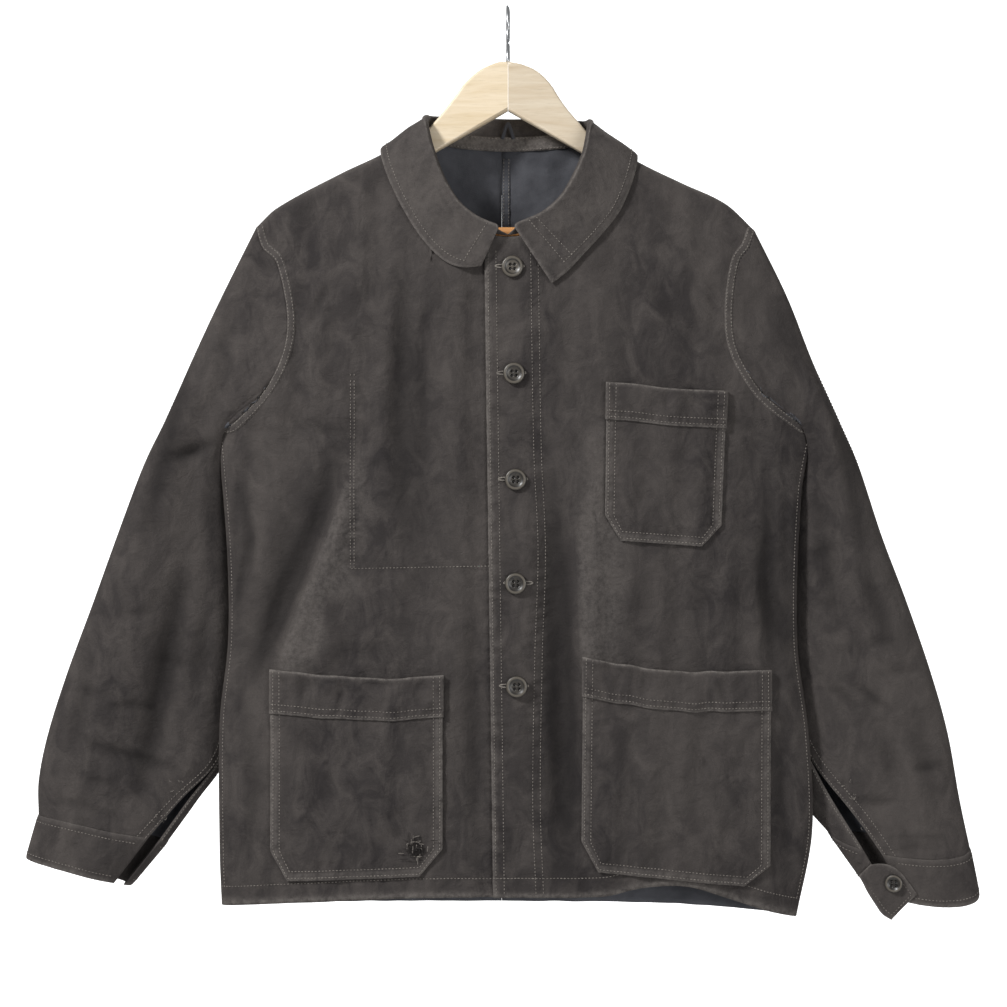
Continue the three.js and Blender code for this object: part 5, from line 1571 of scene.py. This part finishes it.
    def build_band(self) -> None:
        """Builds the tape across the inside of the neck, painted paler as painted light on it."""
        x = np.linspace(-61, 61, 90)
        panel = {side: self.panels[f"back_{side.name.lower()}"] for side in Side}
        z = np.where(x < 0, panel[Side.RIGHT].neckline(np.arcsin(np.abs(x) / 84))[:, 1],
                     panel[Side.LEFT].neckline(np.arcsin(np.abs(x) / 84))[:, 1])
        y = self.band_depth(x, z)
        up = np.linspace(-2, 12, 9)[:, None]
        crown = 0.5 * np.sqrt(np.clip(1 - ((up - 5) / 7) ** 6, 0, 1)) + 0.12 * uneven(x, up * 3, 14, 8)
        tops = np.stack([x + 0 * up, y - 0.9 - crown, z + up], -1)
        under = np.stack([x + 0 * up, y - 0.1 + 0 * up, z + up], -1)
        # The band's colour is painted pale all over: painted light standing for light falling on it.
        made = shell("neck_band_tape", tops, under, [self.finishes.moleskin], np.full(tops.shape[:2], 0.8))
        place_piece(made, ("neck_band",))
        for rise in (-0.4, 10.4):
            self.stitching.row(np.stack([x, y - 1.6, z + rise], -1))

    def build_loop(self) -> None:
        """Builds the hanging loop as a narrow tape with a turned apex."""
        y = float(self.band_depth(np.array(0.0), np.array(-79.0))) - 1.2 - 0.6
        path = np.array([(-5.4, -69), (-3.6, -63), (-1.9, -57.4), (0, -54.2), (1.9, -57.4), (3.6, -63),
                         (5.4, -69)], float)
        line = along_rows(path, np.linspace(0, 1, 40))
        way = unit(np.gradient(line, axis=0))
        across = np.stack([-way[:, 1], way[:, 0]], -1)
        width = np.array([-1.6, -1.1, 0, 1.1, 1.6])[:, None, None]
        flat = line[None] + across[None] * width
        crown = np.array([0.2, 0.9, 1.0, 0.9, 0.2])[:, None] * 0.6
        tops = np.stack([flat[..., 0], y - 0.5 - crown + 0 * flat[..., 0], flat[..., 1]], -1)
        under = np.stack([flat[..., 0], y - 0.1 + 0 * flat[..., 0], flat[..., 1]], -1)
        made = shell("hanging_loop_tape", tops, under, [self.finishes.reverse], np.zeros(tops.shape[:2]))
        place_piece(made, ("hanging_loop",))


# ---------------------------------------------------------------- pockets


@dataclass(frozen=True)
class Pocket:
    """A patch pocket with its lower corners cut off and a turned-over band at its mouth."""

    name: str
    top_in: tuple[float, float]
    top_out: tuple[float, float]
    low_in: tuple[float, float]
    low_out: tuple[float, float]
    cut_in: tuple[float, float]
    cut_out: tuple[float, float]
    band: float
    sag: float
    seed: int
    creases: tuple = ()
    dip: float = 1.5
    dip_at: float = 0.5

    @property
    def high(self) -> float:
        """Height of the pocket."""
        return abs(self.top_in[1] - self.low_in[1])

    def seen(self, across: Array, down: Array) -> tuple[Array, Array]:
        """Places of points seen from the front, inside the cut corners."""
        across, down = np.broadcast_arrays(np.asarray(across, float), np.asarray(down, float))
        bottom = abs(self.low_in[0] - self.low_out[0])

        def cut(corner: tuple[float, float]) -> Array:
            """How far a corner's cut has run in at each height."""
            start = 1 - corner[1] / self.high
            return np.clip((down - start) / (1 - start), 0, 1) * corner[0] / bottom

        u = lerp(cut(self.cut_in), 1 - cut(self.cut_out), across)
        x = lerp(lerp(self.top_in[0], self.top_out[0], u), lerp(self.low_in[0], self.low_out[0], u), down)
        z = lerp(lerp(self.top_in[1], self.top_out[1], u), lerp(self.low_in[1], self.low_out[1], u), down)
        slack = np.sin(math.pi * np.clip(u, 0, 1) ** (math.log(0.5) / math.log(self.dip_at))) ** 1.2
        wave = 0.8 * uneven(x, 0 * x, 34, self.seed + 80)
        return x, z - (self.dip + wave) * slack * (1 - smooth(down, 0.1, 0.6))


class Pockets:
    """The three patch pockets."""

    clear = 0.9

    def __init__(self, form: BodyForm, finishes: Finishes, stitching: Stitching, pieces: dict) -> None:
        """Keeps what the pockets need."""
        self.form, self.finishes, self.stitching, self.pieces = form, finishes, stitching, pieces
        self.pockets = (
            Pocket("chest_pocket", (92, -306), (205, -314), (90, -453), (199, -461), (15, 23), (18, 21),
                   35, 1.2, 1,
                   (Crease(((120, -350), (126, -400), (118, -448)), 1.2, 7),
                    Crease(((170, -350), (160, -390), (166, -440)), 1.0, 8),
                    Crease(((150, -312), (147, -322), (152, -336)), 1.6, 3)), 1.0, 0.5),
            Pocket("lower_pocket_left", (70, -562), (247, -576), (68, -761), (246, -781), (16, 27),
                   (25, 21), 37, 2.4,
                   2, (Crease(((110, -610), (116, -680), (106, -750)), 1.8, 10),
                       Crease(((190, -615), (176, -680), (186, -760)), 1.6, 10),
                       Crease(((226, -620), (222, -680), (230, -740)), 1.4, 7),
                       Crease(((90, -566), (104, -578), (102, -596)), 2.4, 4),
                       Crease(((122, -570), (130, -584), (126, -600)), 2.0, 4),
                       Crease(((150, -572), (176, -578), (206, -576)), 1.6, 4),
                       Crease(((206, -574), (200, -590), (206, -606)), 1.8, 4)), 6.2, 0.45),
            Pocket("lower_pocket_right", (-61, -579), (-223, -575), (-61, -766), (-223, -774), (22, 25),
                   (16, 27), 39,
                   1.8, 3, (Crease(((-100, -625), (-104, -690), (-96, -750)), 1.6, 9),
                            Crease(((-180, -625), (-170, -680), (-182, -750)), 1.8, 10),
                            Crease(((-140, -630), (-146, -700), (-136, -760)), 1.0, 8),
                            Crease(((-70, -584), (-82, -594), (-80, -608)), 2.6, 4),
                            Crease(((-96, -586), (-112, -590), (-136, -586)), 1.8, 4),
                            Crease(((-160, -580), (-152, -594), (-158, -610)), 2.2, 4),
                            Crease(((-196, -580), (-188, -590), (-192, -606)), 2.0, 4)), 4.2, 0.42),
        )

    def points(self, pocket: Pocket, across: Array, down: Array, out: Array) -> Array:
        """Points over the front, moved out by a distance."""
        x, z = pocket.seen(across, down)
        return np.stack([x, -(self.form.depth(x, z, Face.FRONT) + out), z], -1)

    def swell(self, pocket: Pocket, across: Array, down: Array) -> Array:
        """How far the pocket stands off the front inside its stitched edge."""
        x, z = pocket.seen(across, down)
        inside = np.minimum(np.minimum(across, 1 - across) * 2, (1 - down) * 1.6)
        mouth = smooth(1 - down, 0.55, 1.0) * np.sin(math.pi * across)
        puff = 1.4 * smooth(inside, 0.05, 0.5) + pocket.sag * mouth
        edge = np.minimum(np.minimum(across, 1 - across) * abs(pocket.top_in[0] - pocket.top_out[0]),
                          (1 - down) * pocket.high)
        ripple = np.exp(-(((edge - 9) / 7) ** 2)) * 1.2 * (
            0.5 + 0.5 * np.sin(2 * math.pi * (np.where(edge < (1 - down) * pocket.high - 1, z, x) / 10.5)
                               + 1.6 * uneven(x, z, 38, pocket.seed)))
        groove = 0.5 * np.exp(-(((edge - 8.5) / 1.6) ** 2)) + 0.4 * np.exp(-(((edge - 2.0) / 1.4) ** 2))
        fine = sunk(pocket.creases, x, z) * smooth(inside, 0.02, 0.25)
        fine = fine + 0.35 * uneven(x, z, 30, pocket.seed + 40)
        return np.maximum(puff - ripple - groove - fine + 0.8, 0.0)

    def build(self) -> None:
        """Builds the pockets, their bands and their stitching."""
        for pocket in self.pockets:
            wide = abs(pocket.top_in[0] - pocket.top_out[0])
            u = shares((0, 0.12, 12), (0.12, 0.88, int(wide / 2.6)), (0.88, 1, 12))
            cut = 1 - max(pocket.cut_in[1], pocket.cut_out[1]) / pocket.high
            v = shares((0, cut, int(pocket.high * cut / 2.4)), (cut, 1, 14))
            u, v = np.meshgrid(u, v)
            puff = self.swell(pocket, u, v)
            edge = np.minimum(np.minimum(u, 1 - u) * wide, (1 - v) * pocket.high)
            outer = self.points(pocket, u, v, self.clear + 1.5 + 0.5 * smooth(edge, 0, 1.6) + puff)
            inner = self.points(pocket, u, v, self.clear + puff * 0.9)
            wear = np.exp(-((edge / 2.2) ** 2)) * 0.75 + 0.3 * np.exp(-(((edge - 5) / 2) ** 2))
            made = shell(f"{pocket.name}_cloth", outer, inner, [self.finishes.moleskin],
                         np.clip(wear, 0, 0.9))
            place_piece(made, (pocket.name,))
            self.build_band(pocket, made)
            self.sew(pocket, wide)

    def build_band(self, pocket: Pocket, under: bpy.types.Object) -> None:
        """Builds the turned-over band at the mouth."""
        wide = abs(pocket.top_in[0] - pocket.top_out[0])
        u = np.linspace(-1.0 / wide, 1 + 1.0 / wide, int(wide / 2.2))
        v = shares((0, 0.06, 3), (0.06, 0.94, 16), (0.94, 1, 3)) * pocket.band / pocket.high
        u, v = np.meshgrid(u, v)
        puff = self.swell(pocket, np.clip(u, 0, 1), v)
        share = v * pocket.high / pocket.band
        ends = np.minimum(share, 1 - share) * pocket.band
        sides = np.minimum(u * wide + 1, (1 - u) * wide + 1)
        round_off = np.minimum(smooth(ends, -0.2, 1.6), smooth(sides, -0.2, 1.6))
        x, z = pocket.seen(u, v)
        ripple = 0.6 * np.sin(2 * math.pi * x / 9.5 + 1.5 * uneven(x, z, 34, pocket.seed + 9)) * np.exp(
            -(((1 - share) * pocket.band - 6) / 6) ** 2)
        base = self.clear + CLOTH + SEAM + puff
        outer = self.points(pocket, u, v, base + 1.2 + 0.9 * round_off - ripple)
        inner = self.points(pocket, u, v, base + 0.0)
        wear = np.clip(np.exp(-((ends / 1.8) ** 2)) + 0.6 * np.exp(-((sides / 1.8) ** 2)), 0, 1) * 0.85
        made = shell(f"{pocket.name}_band_cloth", outer, inner, [self.finishes.moleskin], wear)
        place_piece(made, (f"{pocket.name}_band",))
        line = np.linspace(0.01, 0.99, 120)
        rise = np.linspace(2, pocket.band - 2, 24) / pocket.high
        for inset in (2.6, 8.6):
            for share in (inset / wide, 1 - inset / wide):
                at = np.full(24, share)
                self.stitching.row(self.points(pocket, at, rise, self.clear + CLOTH + SEAM + 2.3
                                               + self.swell(pocket, at, rise)))
        for rise in (3.0, 8.5):
            at = np.full(120, (pocket.band - rise) / pocket.high)
            self.stitching.row(self.points(pocket, line, at, self.clear + CLOTH + SEAM + 2.3
                                           + self.swell(pocket, line, at)))

    def sew(self, pocket: Pocket, wide: float) -> None:
        """Double stitching down the sides, round the cut corners and along the bottom."""
        for inset in (2.6, 8.6):
            u, v = inset / wide, 1 - inset / pocket.high
            start = (pocket.band + 1) / pocket.high
            across = np.concatenate([np.full(70, u), np.linspace(u, 1 - u, 80), np.full(70, 1 - u)])
            down = np.concatenate([np.linspace(start, v, 70), np.full(80, v), np.linspace(v, start, 70)])
            self.stitching.row(self.points(pocket, across, down,
                                           self.clear + 2.15 + self.swell(pocket, across, down)))


# ---------------------------------------------------------------- buttons, holes and mends


@dataclass
class Buttons:
    """Five front buttons and the cuff's, with their thread, buttonholes and the mends in the cloth."""

    form: BodyForm
    finishes: Finishes
    stitching: Stitching
    spots: tuple = ((4, -198), (5.5, -298), (7, -397), (7, -494), (8, -590))
    radius: float = 10.2
    clear: float = 0.6

    def disc(self, radius: float, rub: float) -> tuple[Array, list, Array]:
        """A four-hole button round the origin, facing -Y.

        Args:
            radius: Its outer radius.
            rub: How worn its face is; below 0 it darkens the face.

        Returns:
            Its points, faces and wear, with painted shade in the holes and on the rim's sides.
        """
        profile = np.array([
            (0.0, 2.2), (0.07, 2.2), (0.13, 2.2), (0.19, 2.2), (0.25, 2.2), (0.31, 2.2), (0.36, 2.2),
                            (0.42, 2.2),
            (0.48, 2.25), (0.56, 2.5), (0.66, 3.1), (0.74, 3.5), (0.82, 3.65), (0.9, 3.5), (0.965, 2.9),
                            (1.0, 2.0),
            (0.985, 1.2), (0.93, 0.5), (0.85, 0.1), (0.6, 0.0), (0.3, 0.0), (0.0, 0.0)])
        sides = 48
        turn = np.linspace(0, 2 * math.pi, sides, endpoint=False)
        points, wear = [], []
        for k, (share, height) in enumerate(profile):
            x, z = share * radius * np.cos(turn), share * radius * np.sin(turn)
            h = np.full(sides, height)
            if k < 9:
                for hole_x in (-2.0, 2.0):
                    for hole_z in (-2.0, 2.0):
                        h -= 1.7 * smooth(1.45 - np.hypot(x - hole_x, z - hole_z), 0.0, 0.55)
            points.append(np.stack([x, -h, z], -1))
            # The rim's top is paler as wear; its inner slope, its outer side and the holes get values below
            # 0, painted shade.
            pit = np.clip((height - h) / 1.2, 0, 1)
            rim = {10: -0.5, 11: 0.6, 12: 0.85, 13: 0.6, 15: -0.6, 16: -0.8}.get(k, rub)
            wear.append(rim * (1 - pit) - pit)
        faces = []
        for i in range(len(profile) - 1):
            for j in range(sides):
                a, b = i * sides + j, i * sides + (j + 1) % sides
                faces.append([a, b, b + sides, a + sides])
        return np.concatenate(points), faces, np.concatenate(wear)

    def one(self, name: str, at: Array, facing: Array, radius: float, rub: float = 0.0) -> None:
        """Builds a button with its thread at a place.

        Args:
            name: The CAD node's name.
            at: Middle of its back face.
            facing: Unit vector out of its front.
            radius: Its outer radius.
            rub: How worn its face is; below 0 it darkens the face.
        """
        forth = unit(np.asarray(facing, float))
        right = unit(np.cross(forth, (0, 0, 1))) * -1
        up = np.cross(right, -forth) * -1
        up = up if up[2] > 0 else -up
        turned = np.stack([right, -forth, up])
        points, faces, wear = self.disc(radius, rub)
        made = make_object(f"{name}_turned", points @ turned + at, faces, [self.finishes.button], wear)
        work = bmesh.new()
        work.from_mesh(made.data)
        bmesh.ops.remove_doubles(work, verts=work.verts, dist=1e-6)
        bmesh.ops.recalc_face_normals(work, faces=work.faces)
        work.to_mesh(made.data)
        work.free()
        place_piece(made, (name,))
        parts = []
        for z in (-2.0, 2.0):
            x = np.linspace(-2.0, 2.0, 9)
            high = 1.7 + 0.75 * np.sqrt(np.clip(1 - (x / 2.1) ** 2, 0, 1))
            parts.append(tube(np.stack([x, -high, np.full(9, z)], -1) @ turned + at, 0.32, 6))
        points, faces = joined(parts)
        thread = make_object(f"{name}_thread", points, faces, [self.finishes.moleskin])
        turn_outwards(thread)
        place_piece(thread)

    def buttonhole(self, x: float, z: float) -> tuple[Array, list]:
        """Raised thread edge of a horizontal buttonhole under a button."""
        turn = np.linspace(0, 2 * math.pi, 60)
        long = np.sign(np.cos(turn)) * np.abs(np.cos(turn)) ** 0.5 * 13.5
        high = np.sin(turn) * 1.5
        path = self.form.place(x + long, z + high, Face.FRONT, 0.25)
        return tube(path, 0.62 + 0.1 * np.sin(turn * 40), 6)

    def mends(self) -> None:
        """Darn on the lower right pocket, with dark tubes of painted shadow among its threads, and frayed
        threads at the vents.
        """
        rng = np.random.default_rng(17)
        threads, shade = [], []
        for k in range(110):
            upright = k % 2 == 0
            x, z = -86 + rng.normal(0, 5), -741 + rng.normal(0, 4.5)
            long = rng.uniform(2.5, 7)
            t = np.linspace(-0.5, 0.5, 5)
            run = np.stack([x + (rng.normal(0, 0.12) if upright else 1) * t * long,
                            z + (1 if upright else rng.normal(0, 0.12)) * t * long], -1)
            path = self.form.place(run[:, 0], run[:, 1], Face.FRONT, 5.2 + 0.3 * (k % 3))
            # One tube in five is a pale thread; the rest go to the dark list, painted shadow in the darn.
            (threads if k % 5 == 0 else shade).append(tube(path, 0.27, 5))
        for x, z, y, spread in ((-312, -690, -4, 9), (-330, -722, -3, 9), (322, -690, -4, 9),
                                (340, -722, 0, 9)):
            for _ in range(6):
                at = np.array([x + rng.uniform(-spread, spread), y, z + rng.uniform(-spread, spread)])
                bend = np.cumsum(rng.normal(0, 1.0, (5, 3)) * (1, 0.5, 1), axis=0)
                threads.append(tube(at + bend, 0.2, 5))
        for name, parts, paint, wear in (("mending_threads", threads, self.finishes.thread, 0.0),
                                         ("darned_patch", shade, self.finishes.moleskin, -1.0)):
            points, faces = joined(parts)
            made = make_object(name, points, faces, [paint], np.full(len(points), wear))
            turn_outwards(made)
            place_piece(made)

    def build(self, cuff_at: Array) -> None:
        """Builds every button, buttonhole and mend."""
        holes = []
        for i, (x, z) in enumerate(self.spots):
            spot = self.form.place(np.array(float(x)), np.array(float(z)), Face.FRONT, self.clear)
            self.one(f"button_{i + 1}", spot, (0, -1, 0), self.radius, (0.55, 0.15, 0.1, 0.0, 0.1)[i])
            holes.append(self.buttonhole(x + (-2.5 if i != 3 else 2.5), z + 0.5))
        self.one("cuff_button", cuff_at - (0, 0.5, 0), (-0.3, -1, 0.0), 8.6, -0.4)
        self.mends()
        points, faces = joined(holes)
        made = make_object("buttonhole_edges", points, faces, [self.finishes.thread])
        turn_outwards(made)
        place_piece(made)


# ---------------------------------------------------------------- hanger


@dataclass
class Hanger:
    """Wooden hanger: two boards mitred at the crown, a trouser bar and a wire hook."""

    form: BodyForm
    finishes: Finishes
    thick: float = 11.0
    arm_end: float = 214.0
    sink: float = 7.6
    ear: float = -172.0
    ear_wide: float = 12.0
    wire: float = 1.9
    hook_inner: float = 16.0
    crown: dict = field(default_factory=lambda: {
        Side.RIGHT: ((0, -0.3), (10, -1), (27, -8.5), (41, -21), (50, -33), (64, -51)),
        Side.LEFT: ((0, -0.3), (14, -3), (28, -9.5), (40, -21), (47, -32), (56, -45), (69, -60)),
    })

    def arm_top(self, side: Side, out: float) -> float:
        """Height of an arm's top under the cloth."""
        return float(self.form.shoulder_line(np.array(float(side * out)))) - self.sink

    def outline(self, side: Side) -> list[tuple[float, float]]:
        """Outline of one board, seen from the front."""
        crown = along_rows(np.array(self.crown[side], float), np.linspace(0, 1, 22))
        top = [tuple(point) for point in crown]
        top += [(out, self.arm_top(side, out)) for out in np.linspace(84, self.arm_end, 9)]
        low = [(self.arm_end, self.ear), (self.arm_end - self.ear_wide, self.ear)]
        inner = self.arm_end - self.ear_wide
        for share in np.linspace(0, 1, 9):
            out = lerp(inner, 84, share)
            low.append((out, self.arm_top(side, out) - lerp(14, 24, share)))
        low += [(69, -86), (0, -46.6)]
        return [(side * max(out, SEAM / 2), z) for out, z in top + low]

    def board(self, side: Side) -> None:
        """Builds one board with softened edges."""
        name = f"hanger_{side.name.lower()}"
        outline = self.outline(side)
        count, half = len(outline), self.thick / 2
        points = [(x, -half, z) for x, z in outline] + [(x, half, z) for x, z in outline]
        faces = [list(range(count)), list(range(count, 2 * count))[::-1]]
        faces += [[k, k + count, (k + 1) % count + count, (k + 1) % count] for k in range(count)]
        made = make_object(f"{name}_board", np.array(points), faces, [self.finishes.boards[side]])
        work = bmesh.new()
        work.from_mesh(made.data)
        rim = [e for e in work.edges if abs(e.verts[0].co.y - e.verts[1].co.y) < 1e-6
               and not (abs(e.verts[0].co.x) < 0.001 and abs(e.verts[1].co.x) < 0.001)]
        bmesh.ops.bevel(work, geom=rim, offset=0.0024, segments=4, profile=0.5, affect="EDGES",
                        clamp_overlap=True)
        bmesh.ops.recalc_face_normals(work, faces=work.faces)
        work.to_mesh(made.data)
        work.free()
        made.data.polygons.foreach_set("use_smooth", [p.area < 0.0006 for p in made.data.polygons])
        place_piece(made, (name,))

    def build(self) -> None:
        """Builds the boards, the bar and the hook."""
        for side in Side:
            self.board(side)
        half = self.arm_end - self.ear_wide - 0.6
        x = np.linspace(-half, half, 30)
        points, faces = tube(np.stack([x, 0 * x, 0 * x - 162], -1), 5.0, 32)
        made = make_object("trouser_bar_dowel", points, faces, [self.finishes.bar])
        turn_outwards(made)
        place_piece(made, ("trouser_bar",))
        middle = self.hook_inner + self.wire
        turn = np.linspace(2.75, -1.9, 60)
        bow = np.stack([0 * turn, middle * np.sin(turn),
                        HOOK_DROP - self.hook_inner + middle * np.cos(turn)], -1)
        stem = np.array([(0, 0, 0.3), (0, 0, 3), (0, 0.3, 7), (0, 2.4, 11.5)])
        rough = np.concatenate([stem, bow])
        path = along_rows(rough, np.linspace(0, 1, 150))
        radius = np.full(len(path), self.wire)
        radius[-6:] = self.wire * np.sqrt(np.clip(1 - np.linspace(0, 0.97, 6) ** 2, 0, 1))
        points, faces = tube(path, radius, 18)
        made = make_object("hook_wire", points, faces, [self.finishes.steel])
        turn_outwards(made)
        place_piece(made, ("hook",))


# ---------------------------------------------------------------- studio


@dataclass
class Studio:
    """Pale floor, soft lights and the camera straight before the jacket."""

    eye: tuple[float, float, float] = (-0.0043, -2.0, -0.4694)
    lens: float = 75.26

    def area(self, name: str, at: tuple, size: float, power: float, towards: tuple) -> None:
        """Adds a soft square light that looks at a point."""
        data = bpy.data.lights.new(name, "AREA")
        data.shape, data.size, data.energy = "SQUARE", size, power
        lamp = bpy.data.objects.new(name, data)
        lamp.location = at
        way = Vector(towards) - Vector(at)
        lamp.rotation_euler = way.to_track_quat("-Z", "Y").to_euler()
        bpy.context.scene.collection.objects.link(lamp)

    def build(self) -> None:
        """Builds the floor, the lights, the world and the camera."""
        scene = bpy.context.scene
        mesh = bpy.data.meshes.new("floor")
        far, low = FLOOR_REACH, FLOOR_LEVEL
        corners = [(-far, -far, low), (far, -far, low), (far, far, low), (-far, far, low)]
        mesh.from_pydata(corners, [], [(0, 1, 2, 3)])
        floor = bpy.data.objects.new("floor", mesh)
        scene.collection.objects.link(floor)
        pale = Shader("floor_paint")
        colour = pale.mix(pale.noise(3), tone(240, 240, 240), tone(246, 246, 246))
        mesh.materials.append(pale.dress(colour, 0.8, pale.raised(pale.noise(400), 0.0001)))
        self.area("key_light", (-2.1, -1.75, 1.35), 0.5, 124, (0.0, 0.0, -0.6))
        self.area("fill_light", (1.8, -2.4, -0.6), 1.5, 38, (0.15, 0.0, -0.65))
        self.area("rear_light", (0.6, 2.4, 1.4), 1.2, 40, (0.0, 0.0, -0.45))
        screen = bpy.data.meshes.new("backdrop")
        wide, back, top = SCREEN_REACH, SCREEN_Y, SCREEN_TOP
        corners = [(-wide, back, low), (wide, back, low), (wide, back, top), (-wide, back, top)]
        screen.from_pydata(corners, [], [(0, 1, 2, 3)])
        backdrop = bpy.data.objects.new("backdrop", screen)
        scene.collection.objects.link(backdrop)
        white = Shader("backdrop_white")
        colour = white.mix(white.noise(2), tone(250, 250, 250), tone(252, 252, 252))
        screen.materials.append(white.dress(colour, 1.0, white.raised(white.noise(300), 0.0001),
                                            Emission_Color=(1, 1, 1, 1), Emission_Strength=0.85))
        world = bpy.data.worlds.new("studio")
        world.use_nodes = True
        back = world.node_tree.nodes["Background"]
        back.inputs["Color"].default_value = (1, 1, 1, 1)
        back.inputs["Strength"].default_value = 0.32
        scene.world = world
        scene.view_settings.view_transform = "Standard"
        data = bpy.data.cameras.new("camera")
        data.lens, data.sensor_width = self.lens, 36
        data.clip_end = 60
        camera = bpy.data.objects.new("camera", data)
        camera.location = self.eye
        camera.rotation_euler = (math.pi / 2, 0, 0)
        scene.collection.objects.link(camera)
        scene.camera = camera


def main() -> None:
    """Builds the jacket, its hanger and the studio."""
    Studio().build()
    finishes = Finishes()
    stitching = Stitching(finishes)
    form = BodyForm()
    body = Body(form, finishes, stitching)
    body.build()
    sleeves = Sleeves(form, finishes, stitching)
    sleeves.build()
    Collar(form, finishes, stitching, body.panels).build()
    Pockets(form, finishes, stitching, body.pieces).build()
    Buttons(form, finishes, stitching).build(sleeves.button_front)
    Hanger(form, finishes).build()
    place_piece(stitching.build("stitches", STITCH_PITCH, STITCH_LENGTH, STITCH_WIDTH))


if __name__ == "__main__":
    main()
